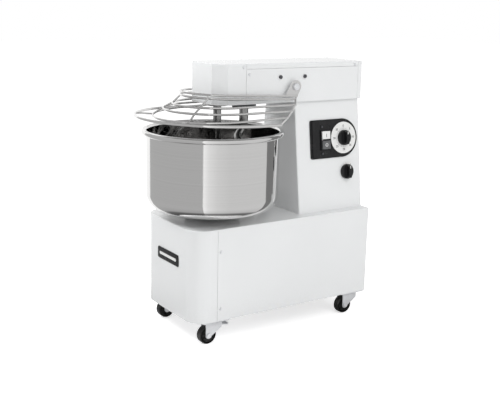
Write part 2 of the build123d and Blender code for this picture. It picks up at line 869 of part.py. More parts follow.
head_plate_top = head_bottom + panel + head_plate
with BuildPart() as drive_bearing_housings:
    for foot in (floor_top, head_plate_top):
        with BuildSketch(Plane.XY.offset(foot)):
            with Locations((0, drive_y)):
                Circle(unit_flange / 2)
                Circle(small_bearing_outer / 2 + running_gap, mode=Mode.SUBTRACT)
        extrude(amount=flange_thickness)
        with BuildSketch(Plane.XY.offset(foot + flange_thickness)):
            with Locations((0, drive_y)):
                Circle(unit_outer / 2)
                Circle(small_bearing_outer / 2 + running_gap, mode=Mode.SUBTRACT)
        extrude(amount=unit_height - flange_thickness)
drive_bearing_housings.part.label = "drive_bearing_housings"
export_step(drive_bearing_housings.part, "parts/drive_bearing_housings.step")

neck_low = head_bottom - neck_length
with BuildPart() as spiral_bearing_housing:
    with BuildSketch(Plane.XY.offset(neck_low)):
        with Locations((0, spiral_y)):
            Circle(unit_outer / 2)
    extrude(amount=head_plate_top + unit_height - neck_low)
    fillet(spiral_bearing_housing.faces().sort_by(Axis.Z)[0].edges(), 2)
    with BuildSketch(Plane.XY.offset(head_plate_top)):
        with Locations((0, spiral_y)):
            Circle(unit_flange / 2)
    extrude(amount=flange_thickness)
    with BuildSketch(Plane.XY.offset(neck_low)):
        with Locations((0, spiral_y)):
            Circle(small_bearing_outer / 2 + running_gap)
    extrude(amount=head_plate_top + unit_height - neck_low, mode=Mode.SUBTRACT)
spiral_bearing_housing.part.label = "spiral_bearing_housing"
export_step(spiral_bearing_housing.part, "parts/spiral_bearing_housing.step")

seat = 2
bearing_seats = (
    (bowl_y, bowl_housing_low + seat, bowl_shaft, bowl_bearing_outer, bowl_bearing_width),
    (bowl_y, spigot_top - seat - bowl_bearing_width, bowl_shaft, bowl_bearing_outer, bowl_bearing_width),
    (drive_y, floor_top + 4 * seat, drive_shaft_diameter, small_bearing_outer, small_bearing_width),
    (drive_y, head_plate_top + 4 * seat, drive_shaft_diameter, small_bearing_outer, small_bearing_width),
    (spiral_y, neck_low + seat, spiral_shaft, small_bearing_outer, small_bearing_width),
    (spiral_y, head_plate_top + 5 * seat, spiral_shaft, small_bearing_outer, small_bearing_width),
)
with BuildPart() as ball_bearings:
    for y, foot, shaft, outer, width in bearing_seats:
        with BuildSketch(Plane.XY.offset(foot)):
            with Locations((0, y)):
                Circle(outer / 2)
                Circle(shaft / 2 + running_gap, mode=Mode.SUBTRACT)
        extrude(amount=width)
ball_bearings.part.label = "ball_bearings"
export_step(ball_bearings.part, "parts/ball_bearings.step")

# Sprockets and chains

chain_tip = 0.3 * chain_roller


def pitch_radius(teeth):
    """Radius of the circle on which the chain's rollers lie."""
    return chain_pitch / 2 / sin(radians(180 / teeth))


def sprocket(teeth, y, middle, shaft, hub, hub_reach):
    """Chain wheel on a vertical shaft, with a hub that reaches down from its toothed disc."""
    radius = pitch_radius(teeth)
    with BuildPart() as wheel:
        with BuildSketch(Plane.XY.offset(middle - tooth_width / 2)):
            with Locations((0, y)):
                Circle(radius + chain_tip)
                with PolarLocations(radius, teeth):
                    Circle(0.505 * chain_roller, mode=Mode.SUBTRACT)
        extrude(amount=tooth_width)
        with BuildSketch(Plane.XY.offset(middle - hub_reach)):
            with Locations((0, y)):
                Circle(hub / 2)
        extrude(amount=2 * hub_reach)
        with BuildSketch(Plane.XY.offset(middle - hub_reach)):
            with Locations((0, y)):
                Circle(shaft / 2 + running_gap)
        extrude(amount=2 * hub_reach, mode=Mode.SUBTRACT)
    return wheel


bowl_sprocket = sprocket(bowl_teeth, bowl_y, bowl_chain_height, bowl_shaft, large_hub, bowl_hub_reach)
bowl_sprocket.part.label = "bowl_sprocket"
export_step(bowl_sprocket.part, "parts/bowl_sprocket.step")

bowl_drive_sprocket = sprocket(
    bowl_drive_teeth, drive_y, bowl_chain_height, drive_shaft_diameter, small_hub, drive_hub_reach
)
bowl_drive_sprocket.part.label = "bowl_drive_sprocket"
export_step(bowl_drive_sprocket.part, "parts/bowl_drive_sprocket.step")

spiral_sprocket = sprocket(
    spiral_teeth, spiral_y, spiral_chain_height, spiral_shaft, small_hub, spiral_hub_reach
)
spiral_sprocket.part.label = "spiral_sprocket"
export_step(spiral_sprocket.part, "parts/spiral_sprocket.step")

spiral_drive_sprocket = sprocket(
    spiral_drive_teeth, drive_y, spiral_chain_height, drive_shaft_diameter, medium_hub, spiral_hub_reach
)
spiral_drive_sprocket.part.label = "spiral_drive_sprocket"
export_step(spiral_drive_sprocket.part, "parts/spiral_drive_sprocket.step")


def chain_band(y, radius, other_y, other_radius, grow):
    """Plan of a tight loop round two circles, grown by an amount."""
    with BuildSketch(mode=Mode.PRIVATE) as band:
        with Locations((0, y)):
            Circle(radius + grow)
        with Locations((0, other_y)):
            Circle(other_radius + grow)
        make_hull()
    return band.sketch


def chain(y, teeth, other_y, other_teeth, middle):
    """Roller chain as two plate strands above and below the teeth, bridged by its straight-run rollers."""
    radius = pitch_radius(teeth)
    other_radius = pitch_radius(other_teeth)
    span = other_y - y
    rise = (radius - other_radius) / span
    spread = sqrt(1 - rise**2)
    reach = chain_tip + chain_roller / 2 + body_gap
    first = sqrt((radius + reach) ** 2 - radius**2)
    last = span * spread - sqrt((other_radius + reach) ** 2 - other_radius**2)
    count = int((last - first) / (2 * chain_pitch)) + 1
    strand = tooth_width / 2 + 0.6
    rollers = []
    for side in (-1, 1):
        for index in range(count):
            along = first + index * 2 * chain_pitch
            rollers.append((side * (radius * spread - along * rise), y + radius * rise + along * spread))
    with BuildPart() as loop:
        for foot in (middle + strand, middle - strand - chain_plate_thickness):
            with BuildSketch(Plane.XY.offset(foot)):
                add(chain_band(y, radius, other_y, other_radius, chain_plate / 2))
                add(chain_band(y, radius, other_y, other_radius, -chain_plate / 2), mode=Mode.SUBTRACT)
            extrude(amount=chain_plate_thickness)
        with BuildSketch(Plane.XY.offset(middle - strand)):
            with Locations(*rollers):
                Circle(chain_roller / 2)
        extrude(amount=2 * strand)
    return loop


bowl_chain = chain(bowl_y, bowl_teeth, drive_y, bowl_drive_teeth, bowl_chain_height)
bowl_chain.part.label = "bowl_chain"
export_step(bowl_chain.part, "parts/bowl_chain.step")

spiral_chain = chain(spiral_y, spiral_teeth, drive_y, spiral_drive_teeth, spiral_chain_height)
spiral_chain.part.label = "spiral_chain"
export_step(spiral_chain.part, "parts/spiral_chain.step")

# Gearmotor: a gearbox round the drive shaft, with its motor standing up into the column

gearbox_top = panel_top - bridge
gearbox_low = gearbox_top - gearbox_depth
with BuildPart() as gearmotor:
    gearbox_start = drive_y - gearbox_wall
    gearbox_end = motor_y + motor_diameter / 2 + gearbox_overhang
    with BuildSketch(Plane.XY.offset(gearbox_low)):
        with Locations((0, (gearbox_start + gearbox_end) / 2)):
            RectangleRounded(motor_diameter, gearbox_end - gearbox_start, gearbox_corner)
    extrude(amount=gearbox_top - gearbox_low)
    with BuildSketch(Plane.XY.offset(gearbox_top)):
        with Locations((0, motor_y)):
            Circle(motor_diameter / 2)
    extrude(amount=deck_height + motor_rise - gearbox_top)
    fillet(gearmotor.faces().sort_by(Axis.Z)[-1].edges(), motor_round)
    with BuildSketch(Plane.XY.offset(gearbox_low)):
        with Locations((0, drive_y)):
            Circle(drive_shaft_diameter / 2 + running_gap)
    extrude(amount=gearbox_top - gearbox_low, mode=Mode.SUBTRACT)
gearmotor.part.label = "gearmotor"
export_step(gearmotor.part, "parts/gearmotor.step")

drive_shaft_low = floor_top + 3 * seat
drive_shaft_top = spiral_chain_height + 2.2 * spiral_hub_reach
with BuildPart() as drive_shaft:
    with BuildSketch(Plane.XY.offset(drive_shaft_low)):
        with Locations((0, drive_y)):
            Circle(drive_shaft_diameter / 2)
    extrude(amount=drive_shaft_top - drive_shaft_low)
    chamfer(drive_shaft.edges().filter_by(GeomType.CIRCLE), edge_round)
drive_shaft.part.label = "drive_shaft"
export_step(drive_shaft.part, "parts/drive_shaft.step")

# Spiral hook: a shaft that runs out into one bent rod, wound downward round its own axis

hook_rise = 0.25
hook_tip = 0.85
hook_tip_draw = 0.25
hook_start_angle = -125
hook_steps = 12
spiral_top = head_bottom - spiral_drop
spiral_low = bowl_floor + spiral_clearance


def ease(value):
    """Smooth step from 0 to 1, level at both ends."""
    value = min(max(value, 0), 1)
    return value * value * (3 - 2 * value)


def hook_point(turned):
    """Point on the rod's centre line, from 0 at the shaft to 1 at the tip."""
    reach = spiral_reach * ease(turned / hook_rise)
    reach *= 1 - hook_tip_draw * ease((turned - hook_tip) / (1 - hook_tip))
    angle = radians(hook_start_angle + 360 * spiral_turns * turned)
    height = spiral_top + (spiral_low - spiral_top) * turned
    return Vector(reach * cos(angle), spiral_y + reach * sin(angle), height)


def hook_direction(turned):
    """Direction of the rod's centre line at the same place."""
    step = 0.001
    before = hook_point(max(turned - step, 0))
    after = hook_point(min(turned + step, 1))
    return (after - before).normalized()


def biarc_middle(start, start_way, end, end_way):
    """Point where two tangent arcs meet that join two points with given directions."""
    chord = end - start
    both = start_way + end_way
    bend = 2 * (1 - start_way.dot(end_way))
    along = chord.dot(both)
    reach = (sqrt(along**2 + bend * chord.dot(chord)) - along) / bend
    return (start + end + (start_way - end_way) * reach) * 0.5


with BuildPart() as spiral_hook:
    with BuildLine() as hook_line:
        for index in range(hook_steps):
            here = index / hook_steps
            there = (index + 1) / hook_steps
            start, end = hook_point(here), hook_point(there)
            way = Vector(0, 0, -1) if index == 0 else hook_direction(here)
            middle = biarc_middle(start, way, end, hook_direction(there))
            first_arc = TangentArc(start, middle, tangent=way)
            TangentArc(middle, end, tangent=first_arc % 1)
    with BuildSketch(Plane(hook_point(0), z_dir=(0, 0, -1))):
        Circle(spiral_rod / 2)
    sweep(path=hook_line.wires()[0])
    fillet(spiral_hook.faces().sort_by(Axis.Z)[0].edges(), tool_round)
    with BuildSketch(Plane.XY.offset(spiral_top)):
        with Locations((0, spiral_y)):
            Circle(spiral_shaft / 2)
    extrude(amount=spiral_chain_height + 2 * spiral_hub_reach - spiral_top)
spiral_hook.part.label = "spiral_hook"
export_step(spiral_hook.part, "parts/spiral_hook.step")

breaker_low = bowl_floor + breaker_clearance
nut_height = 10
with BuildPart() as breaker_bar:
    with BuildSketch(Plane.XY.offset(breaker_low)):
        with Locations((0, breaker_y)):
            Circle(breaker_bar_diameter / 2)
    extrude(amount=head_bottom - breaker_low)
    fillet(breaker_bar.faces().sort_by(Axis.Z)[0].edges(), tool_round)
    with BuildSketch(Plane.XY.offset(head_bottom)):
        with Locations((0, breaker_y)):
            Circle(breaker_flange / 2)
    extrude(amount=-flange_thickness)
    with BuildSketch(Plane.XY.offset(head_bottom)):
        with Locations((0, breaker_y)):
            Circle(stud_diameter / 2)
    extrude(amount=panel + head_plate + nut_height)
    with BuildSketch(Plane.XY.offset(head_plate_top)):
        with Locations((0, breaker_y)):
            RegularPolygon(stud_diameter * 0.85, 6)
    extrude(amount=nut_height - 2)
breaker_bar.part.label = "breaker_bar"
export_step(breaker_bar.part, "parts/breaker_bar.step")

# Wire guard: U-shaped rings on a cone, tied by ribs and side rods, welded to an ear at each side

guard_top_height = guard_pivot_height - guard_top_drop
shoulder_height = guard_top_height - guard_shoulder_drop
cone_step = (guard_cone_radius - guard_top_radius) / (guard_cone_rings - 1)
cone_drop = guard_cone_drop / (guard_cone_rings - 1)
rings = [(guard_top_radius, guard_top_height)]
for index in range(guard_cone_rings):
    rings.append((guard_top_radius + index * cone_step, shoulder_height - index * cone_drop))
rings.append((guard_outer_radius, shoulder_height - guard_cone_drop - guard_outer_drop))
leg_ends = [pivot_y + ear_tail / 2]
leg_ends += [pivot_y - ear_tail - index * leg_step for index in range(guard_cone_rings)]
leg_ends.append(pivot_y - outer_leg_forward)
ear_inner = guard_top_radius - guard_wire / 2 - ear_gap
ear_low = guard_top_height - guard_wire
rod_points = [(radius, end, height) for (radius, height), end in zip(rings, leg_ends)]
rib_points = []
for radius, height in rings:
    share = (radius - guard_top_radius) / (guard_outer_radius - guard_top_radius)
    angle = radians(guard_rib_top_angle + share * (guard_rib_foot_angle - guard_rib_top_angle))
    rib_points.append((radius * sin(angle), guard_y - radius * cos(angle), height))


def wire(points, diameter, side):
    """Straight runs of wire from ring to ring, on the machine's right or left side."""
    places = [Vector(side * x, y, z) for x, y, z in points]
    with BuildPart(mode=Mode.PRIVATE) as run:
        for start, end in zip(places, places[1:]):
            with BuildSketch(Plane(start, z_dir=end - start)):
                Circle(diameter / 2)
            extrude(amount=(end - start).length)
    return run.part


def guard_ring(radius, height, leg_end, diameter):
    """One U of wire: a half circle round the front of the bowl and two straight legs to the rear."""
    with BuildPart(mode=Mode.PRIVATE) as ring:
        with BuildLine() as line:
            leg = Line((radius, leg_end, height), (radius, guard_y, height))
            ThreePointArc(leg @ 1, (0, guard_y - radius, height), (-radius, guard_y, height))
            Line((-radius, guard_y, height), (-radius, leg_end, height))
        with BuildSketch(Plane((radius, leg_end, height), z_dir=(0, -1, 0))):
            Circle(diameter / 2)
        sweep(path=line.wires()[0])
    return ring.part


def ear(side):
    """Flat ear with a rounded top, bored for the pivot bolt."""
    face = Plane.YZ.offset(ear_inner if side > 0 else -ear_inner - ear_thickness)
    with BuildPart(mode=Mode.PRIVATE) as plate:
        with BuildSketch(face):
            with Locations((pivot_y, guard_pivot_height)):
                Circle(ear_radius)
            with BuildLine():
                Polyline(
                    (pivot_y - ear_length, ear_low),
                    (pivot_y + ear_tail, ear_low),
                    (pivot_y + ear_radius, guard_pivot_height),
                    (pivot_y - ear_radius * 0.8, guard_pivot_height + ear_radius * 0.6),
                    close=True,
                )
            make_face()
            with Locations((pivot_y, guard_pivot_height)):
                Circle(guard_pin / 2 + running_gap, mode=Mode.SUBTRACT)
        extrude(amount=ear_thickness)
    return plate.part


guard_pieces = []
for (radius, height), leg_end in zip(rings, leg_ends):
    diameter = guard_outer_wire if radius == guard_outer_radius else guard_wire
    guard_pieces.append(guard_ring(radius, height, leg_end + weld, diameter))
for side in (-1, 1):
    guard_pieces.append(wire(rod_points, guard_rib_wire, side))
    guard_pieces.append(wire(rib_points, guard_rib_wire, side))
    guard_pieces.append(ear(side))
with BuildPart() as guard_cage:
    for piece in guard_pieces:
        add(piece)
guard_cage.part.label = "guard_cage"
export_step(guard_cage.part, "parts/guard_cage.step")

pin_inner = flange_outer - head_flange
pin_head = 1.1 * guard_pin
ear_near = ear_inner - body_gap
ear_far = ear_inner + ear_thickness + body_gap
with BuildPart() as guard_pivot_bolts:
    for side in (-1, 1):
        with BuildSketch(Plane.XZ.offset(-pivot_y)):
            with BuildLine():
                Polyline(
                    (side * pin_inner, guard_pivot_height),
                    (side * pin_inner, guard_pivot_height + guard_pin / 2),
                    (side * head_width / 2, guard_pivot_height + guard_pin / 2),
                    (side * head_width / 2, guard_pivot_height + pin_head),
                    (side * ear_near, guard_pivot_height + pin_head),
                    (side * ear_near, guard_pivot_height + guard_pin / 2),
                    (side * ear_far, guard_pivot_height + guard_pin / 2),
                    (side * ear_far, guard_pivot_height + pin_head - 1),
                    (side * (ear_far + 0.57 * guard_pin), guard_pivot_height + pin_head - 2),
                    (side * (ear_far + 0.57 * guard_pin), guard_pivot_height),
                    close=True,
                )
            make_face()
        revolve(axis=Axis((0, pivot_y, guard_pivot_height), (1, 0, 0)))
guard_pivot_bolts.part.label = "guard_pivot_bolts"
export_step(guard_pivot_bolts.part, "parts/guard_pivot_bolts.step")

# Fasteners


def side_face(side, x, back, height):
    """Plane on a vertical side of the machine, facing outward."""
    return Plane((side * x, base_front + back, height), x_dir=(0, 1, 0), z_dir=(side, 0, 0))


def rear_face(x, height):
    """Plane on the machine's rear, facing backward."""
    return Plane((x, base_rear, height), x_dir=(1, 0, 0), z_dir=(0, 1, 0))


base_screw_back = panel_seam + screw_inset
base_screw_heights = (floor_gap + base_screw_low, deck_height - base_screw_high)
rear_screw_x = base_width / 2 - screw_inset
rear_screw_heights = [
    foot + row * rear_screw_pitch
    for foot in (floor_gap + rear_screw_low, deck_height - rear_screw_high)
    for row in (0, 1)
]
cover_screws_at = (
    (head_cover_seam + screw_inset, head_top - 2 * lid_depth),
    (head_cover_seam + screw_inset, head_bottom + 1.5 * lid_depth),
    (head_cover_seam - screw_inset, head_top - 0.6 * lid_depth),
    (base_length - 2 * head_rear_cover_depth, head_top - 0.6 * lid_depth),
)
switch_screw_offset = switch_offset - 0.4 * button_width
switch_screw_reach = switch_window_height / 2 + 1.8 * screw_head - bezel
screw_places = []
for side in (-1, 1):
    for height in base_screw_heights:
        screw_places.append(side_face(side, base_width / 2, base_screw_back, height))
    for height in rear_screw_heights:
        screw_places.append(rear_face(side * rear_screw_x, height))
    for back, height in cover_screws_at:
        screw_places.append(side_face(side, head_width / 2, back, height))

with BuildPart() as cover_screws:
    for place in screw_places:
        with BuildSketch(place.offset(body_gap / 3)):
            Circle(screw_head / 2)
        extrude(amount=screw_rise, taper=12)
    for row in (-1, 1):
        with BuildSketch(side_plane(panel_back, panel_height, plate_thickness)):
            with Locations((switch_screw_offset, -switch_drop + row * switch_screw_reach)):
                Circle(screw_head / 2)
        extrude(amount=screw_rise, taper=12)
cover_screws.part.label = "cover_screws"
export_step(cover_screws.part, "parts/cover_screws.step")

with BuildPart() as frame_bolts:
    for side in (-1, 1):
        for back, height in side_bolts:
            with BuildSketch(side_face(side, head_width / 2, back, height)):
                RegularPolygon(bolt_diameter * 0.85, 6)
            extrude(amount=bolt_head)
            with BuildSketch(side_face(side, head_width / 2, back, height)):
                Circle(bolt_diameter / 2)
            extrude(amount=-(panel + cover_gap + head_flange))
frame_bolts.part.label = "frame_bolts"
export_step(frame_bolts.part, "parts/frame_bolts.step")

gland_nut = 10
with BuildPart() as cable_gland:
    with BuildSketch(rear_face(gland_x, gland_height)):
        RegularPolygon(gland_thread * 0.75, 6)
    extrude(amount=gland_reach * 0.35)
    with BuildSketch(rear_face(gland_x, gland_height)):
        Circle(gland_thread * 0.62)
    extrude(amount=gland_reach)
    fillet(cable_gland.faces().sort_by(Axis.Y)[-1].edges(), 2)
    with BuildSketch(rear_face(gland_x, gland_height)):
        Circle(gland_thread / 2)
    extrude(amount=-(panel + gland_nut))
    with BuildSketch(rear_face(gland_x, gland_height)):
        Circle(gland_bore / 2)
    extrude(amount=gland_reach + panel + gland_nut, both=True, mode=Mode.SUBTRACT)
cable_gland.part.label = "cable_gland"
export_step(cable_gland.part, "parts/cable_gland.step")

# Casters: plate, swivelling fork with its riveted axle, and wheel; the front pair has brake levers

fork_top = floor_gap - caster_sheet - race_depth - body_gap
axle_height = wheel_diameter / 2
fork_half = wheel_width / 2 + wheel_gap
lever_back = 15
lever_height = axle_height + 21
lever_barrel = lever_pin + 5
caster_corners = [
    (side * wheel_track / 2, base_front + back, f"{end}_{hand}")
    for back, end in ((caster_front, "front"), (base_length - caster_inset, "rear"))
    for side, hand in ((1, "right"), (-1, "left"))
]


def rounded_bar(start, end, thickness):
    """Bar with round ends between two points of the sketch."""
    run = Vector(end) - Vector(start)
    with Locations(Vector(start) + run / 2):
        SlotCenterToCenter(run.length, thickness, rotation=degrees(atan2(run.Y, run.X)))


with BuildPart() as caster_plates:
    for x, y, corner in caster_corners:
        with BuildSketch(Plane.XY.offset(floor_gap)):
            with Locations((x - plate_shift if x > 0 else x + plate_shift, y)):
                RectangleRounded(caster_plate_width, caster_plate_length, 2 * caster_sheet)
        extrude(amount=-caster_sheet)
        with BuildSketch(Plane.XY.offset(floor_gap - caster_sheet)):
            with Locations((x, y)):
                Circle(race_diameter / 2)
        extrude(amount=-race_depth)
        with BuildSketch(Plane.XY.offset(floor_gap - caster_sheet - race_depth)):
            with Locations((x, y)):
                Circle(kingpin / 2)
        extrude(amount=-(fork_sheet + body_gap + rivet))
caster_plates.part.label = "caster_plates"
export_step(caster_plates.part, "parts/caster_plates.step")

for x, y, corner in caster_corners:
    wheel_y = y - caster_trail
    with BuildPart() as caster_fork:
        with BuildSketch(Plane.XY.offset(fork_top)):
            with Locations((x, y + (crown_rear - crown_front) / 2)):
                Rectangle(2 * fork_half + 2 * fork_sheet, crown_front + crown_rear)
            with Locations((x, y)):
                Circle(race_diameter / 2)
                Circle(kingpin / 2 + running_gap, mode=Mode.SUBTRACT)
        extrude(amount=-fork_sheet)
        with BuildSketch(Plane.YZ.offset(x - fork_half - fork_sheet)):
            with BuildLine():
                Polyline(
                    (wheel_y - boss, axle_height),
                    (y - crown_front, fork_top),
                    (y + crown_rear, fork_top),
                    (y + crown_rear, fork_top - cheek_drop),
                    (wheel_y + boss, axle_height - rivet),
                    close=True,
                )
            make_face()
            with Locations((wheel_y, axle_height)):
                Circle(boss)
        extrude(amount=fork_sheet)
        mirror(about=Plane.YZ.offset(x))
        with BuildSketch(Plane.YZ.offset(x - fork_half - fork_sheet - rivet)):
            with Locations((wheel_y, axle_height)):
                Circle(axle / 2)
            if "front" in corner:
                with Locations((y + lever_back, lever_height)):
                    Circle(lever_pin / 2)
        extrude(amount=2 * (fork_half + fork_sheet + rivet))
    caster_fork.part.label = f"caster_fork_{corner}"
    export_step(caster_fork.part, f"parts/caster_fork_{corner}.step")

    with BuildPart() as caster_wheel:
        with BuildSketch(Plane.YZ.offset(x - wheel_width / 2)):
            with Locations((wheel_y, axle_height)):
                Circle(wheel_diameter / 2)
        extrude(amount=wheel_width)
        fillet(caster_wheel.edges().filter_by(GeomType.CIRCLE), tyre_round)
        for rim in (x - wheel_width / 2, x + wheel_width / 2):
            with BuildSketch(Plane.YZ.offset(rim)):
                with Locations((wheel_y, axle_height)):
                    Circle(wheel_diameter / 2 - tyre)
                    Circle(boss, mode=Mode.SUBTRACT)
            extrude(amount=-hub_recess if rim > x else hub_recess, mode=Mode.SUBTRACT)
        with BuildSketch(Plane.YZ.offset(x - wheel_width / 2)):
            with Locations((wheel_y, axle_height)):
                Circle(axle / 2 + running_gap)
        extrude(amount=wheel_width, mode=Mode.SUBTRACT)
    caster_wheel.part.label = f"caster_wheel_{corner}"
    export_step(caster_wheel.part, f"parts/caster_wheel_{corner}.step")

    if "front" in corner:
        with BuildPart() as brake_lever:
            lever_y = y + lever_back
            tip = (lever_y + lever_length, lever_height - lever_sheet / 2)
            with BuildSketch(Plane.YZ.offset(x - fork_half + 0.5)):
                with Locations((lever_y, lever_height)):
                    Circle(lever_barrel / 2)
                rounded_bar((lever_y, lever_height), (lever_y - 6, lever_height - 12.5), 3.6)
                rounded_bar((lever_y, lever_height + lever_barrel / 2 - lever_sheet / 2), tip, lever_sheet)
                rounded_bar(tip, (tip[0] + lever_sheet, tip[1] + lever_sheet), lever_sheet)
                with Locations((lever_y, lever_height)):
                    Circle(lever_pin / 2 + running_gap, mode=Mode.SUBTRACT)
            extrude(amount=2 * (fork_half - 0.5))
        name = f"brake_lever_{corner}"
        brake_lever.part.label = name
        export_step(brake_lever.part, f"parts/{name}.step")
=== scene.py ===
import json
import math

import bmesh
import bpy
import numpy as np
from mathutils import Matrix, Vector


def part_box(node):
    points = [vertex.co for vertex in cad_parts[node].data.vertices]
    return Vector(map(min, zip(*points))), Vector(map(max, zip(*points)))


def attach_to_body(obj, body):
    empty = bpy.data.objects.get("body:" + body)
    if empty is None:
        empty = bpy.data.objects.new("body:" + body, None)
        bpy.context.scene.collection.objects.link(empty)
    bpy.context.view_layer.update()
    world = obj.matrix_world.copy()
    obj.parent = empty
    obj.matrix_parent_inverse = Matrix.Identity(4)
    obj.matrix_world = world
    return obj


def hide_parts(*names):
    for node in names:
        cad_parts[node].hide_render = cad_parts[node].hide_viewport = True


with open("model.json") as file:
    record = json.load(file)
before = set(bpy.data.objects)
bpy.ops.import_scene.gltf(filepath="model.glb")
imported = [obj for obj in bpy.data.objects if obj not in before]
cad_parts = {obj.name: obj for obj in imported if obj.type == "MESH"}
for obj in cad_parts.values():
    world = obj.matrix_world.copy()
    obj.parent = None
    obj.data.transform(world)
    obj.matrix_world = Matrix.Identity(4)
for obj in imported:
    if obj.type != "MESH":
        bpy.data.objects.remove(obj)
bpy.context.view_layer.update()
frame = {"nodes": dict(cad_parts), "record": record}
cad = frame["nodes"]
bodyOf = {node: body for body, members in frame["record"]["behaviour"]["bodies"].items() for node in members}
slotOf = {part["node"]: part["material_slot"] for part in frame["record"]["subparts"]}
scene = bpy.context.scene
scene.view_settings.view_transform = "Standard"
print("frame loaded:", len(cad), "nodes")

# helpers for objects and node trees


def addObject(name, data):
    thing = bpy.data.objects.new(name, data)
    scene.collection.objects.link(thing)
    return thing


def setAll(thing, **settings):
    for key, value in settings.items():
        setattr(thing, key, value)
    return thing


def pick(making, *keys):
    return [making[key] for key in keys]


def boxOf(node):
    low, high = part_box(node)
    return low, high, (low + high) / 2


def bareTree(block):
    block.use_nodes = True
    block.node_tree.nodes.clear()
    return block.node_tree


def addNode(tree, kind, inputs=None, **settings):
    # kinds without a family are shader nodes; inputs are plain values or outputs of earlier nodes
    node = setAll(tree.nodes.new(kind if "Node" in kind else "ShaderNode" + kind), **settings)
    for key, value in (inputs or {}).items():
        if isinstance(value, bpy.types.NodeSocket):
            tree.links.new(value, node.inputs[key])
        else:
            node.inputs[key].default_value = value
    return node.outputs


def maths(tree, operation, *values):
    return addNode(tree, "Math", dict(enumerate(values)), operation=operation)[0]


def scaled(tree, vector, factor):
    return addNode(tree, "VectorMath", {0: vector, "Scale": factor}, operation="SCALE")[0]


def remap(tree, value, low, high, start=0.0, end=1.0, kind="LINEAR"):
    inputs = {"Value": value, "From Min": low, "From Max": high, "To Min": start, "To Max": end}
    return addNode(tree, "MapRange", inputs, interpolation_type=kind)[0]


def ownPlace(tree):
    return addNode(tree, "TexCoord")["Object"]


def noise(tree, place, scale, detail, rough=0.5):
    inputs = {"Vector": place, "Scale": scale, "Detail": detail, "Roughness": rough}
    return addNode(tree, "TexNoise", inputs)[0]


def rays(tree):
    # from the camera or not, and by way of metal or glass or not
    path = addNode(tree, "LightPath")
    return path["Is Camera Ray"], maths(tree, "MAXIMUM", path["Is Glossy Ray"], path["Is Transmission Ray"])


def newTree(name, treeKind, inputs, outputs):
    # inputs are (label, kind) or (label, kind, value), outputs are (label, kind)
    tree = bpy.data.node_groups.new(name, treeKind)
    for label, kind, *value in inputs:
        socket = tree.interface.new_socket(name=label, in_out="INPUT", socket_type="NodeSocket" + kind)
        if value:
            socket.default_value = value[0]
    for label, kind in outputs:
        tree.interface.new_socket(name=label, in_out="OUTPUT", socket_type="NodeSocket" + kind)
    return tree, tree.nodes.new("NodeGroupInput").outputs, tree.nodes.new("NodeGroupOutput")


def giveOut(tree, made, *values):
    for value, socket in zip(values, made.inputs):
        tree.links.new(value, socket)
    return tree


# camera, floor and studio

viewPoint = {
    "place": (1.9454, -1.3060, 0.8900), "azimuth": 56.17, "pitch": 13.118, "roll": 1.232,
    "lens": 61.46, "sensor": 36,
}
studio = {
    "worldLevel": 0.60,  # what the matt and painted surfaces receive
    "floorSize": 30,
    "floorColor": (0.90, 0.90, 0.90, 1),
    "floorGlow": (0.60, 0.12),  # toward the camera, and in metal
    "ceiling": (0.28, 0.92, 0.27),  # overhead, for metal: where darkening starts and ends, and the level then
    "lamps": {  # place, power, size
        "keyLight": ((2.5, -0.1, 2.6), 23, 1.8),
        "fillLight": ((3.2, 0.2, 1.0), 18.5, 2.4),
        "frontLight": ((-0.50, -0.92, 1.15), 7.4, 0.5),
        "topLight": ((0.6, -0.4, 3.2), 4, 2.2),
    },
    "lampAim": (0, 0, 0.4),
}
# grey boards round the bowl that only polished surfaces see: turn from the camera's side, and brightness
boards = {
    "boardEdge": ((-160, 1.1), (-127, 1.1)),
    "boardLeft": ((-127, 0.50), (-14.5, 0.50)),
    "boardRight": ((-14.5, 1.1), (-6, 0.90), (8, 0.77), (28, 0.70), (97, 0.70)),
    "boardFar": ((97, 0.22), (122, 0.22)),
}
boardRows = (  # distance, height, share of the brightness
    (0.23, 0.004, 0.20), (0.33, 0.004, 0.28), (0.42, 0.004, 0.86), (0.7, 0.004, 1.0),
    (1.0, 0.004, 1.0), (1.0, 0.16, 0.98), (1.0, 0.6, 1.0), (1.0, 1.5, 1.12),
)
boardSteps = 48


def addCamera():
    turn, dip, roll = map(math.radians, pick(viewPoint, "azimuth", "pitch", "roll"))
    ahead = Vector((-math.sin(turn) * math.cos(dip), math.cos(turn) * math.cos(dip), -math.sin(dip)))
    right = Vector((math.cos(turn), math.sin(turn), 0))
    up = right.cross(ahead)
    across = right * math.cos(roll) + up * math.sin(roll)
    upward = up * math.cos(roll) - right * math.sin(roll)
    lens = setAll(bpy.data.cameras.new("camera"), lens=viewPoint["lens"], sensor_width=viewPoint["sensor"])
    scene.camera = addObject("camera", lens)
    turnMatrix = Matrix((across, upward, -ahead)).transposed().to_4x4()
    scene.camera.matrix_world = Matrix.Translation(viewPoint["place"]) @ turnMatrix


def addWorld():
    scene.world = bpy.data.worlds.new("studioAir")
    tree = bareTree(scene.world)
    start, end, level = studio["ceiling"]
    place = addNode(tree, "TexCoord")["Generated"]
    height = addNode(tree, "SeparateXYZ", {0: place})["Z"]
    ceiling = remap(tree, height, start, end, 1.0, level, "SMOOTHSTEP")
    fromCamera, shiny = rays(tree)
    forShiny = addNode(tree, "Mix", {0: shiny, 2: studio["worldLevel"], 3: ceiling})[0]
    forCamera = addNode(tree, "Mix", {0: fromCamera, 2: forShiny, 3: 1.0})[0]
    background = addNode(tree, "Background", {"Color": (1, 1, 1, 1), "Strength": forCamera})
    addNode(tree, "OutputWorld", {0: background[0]})


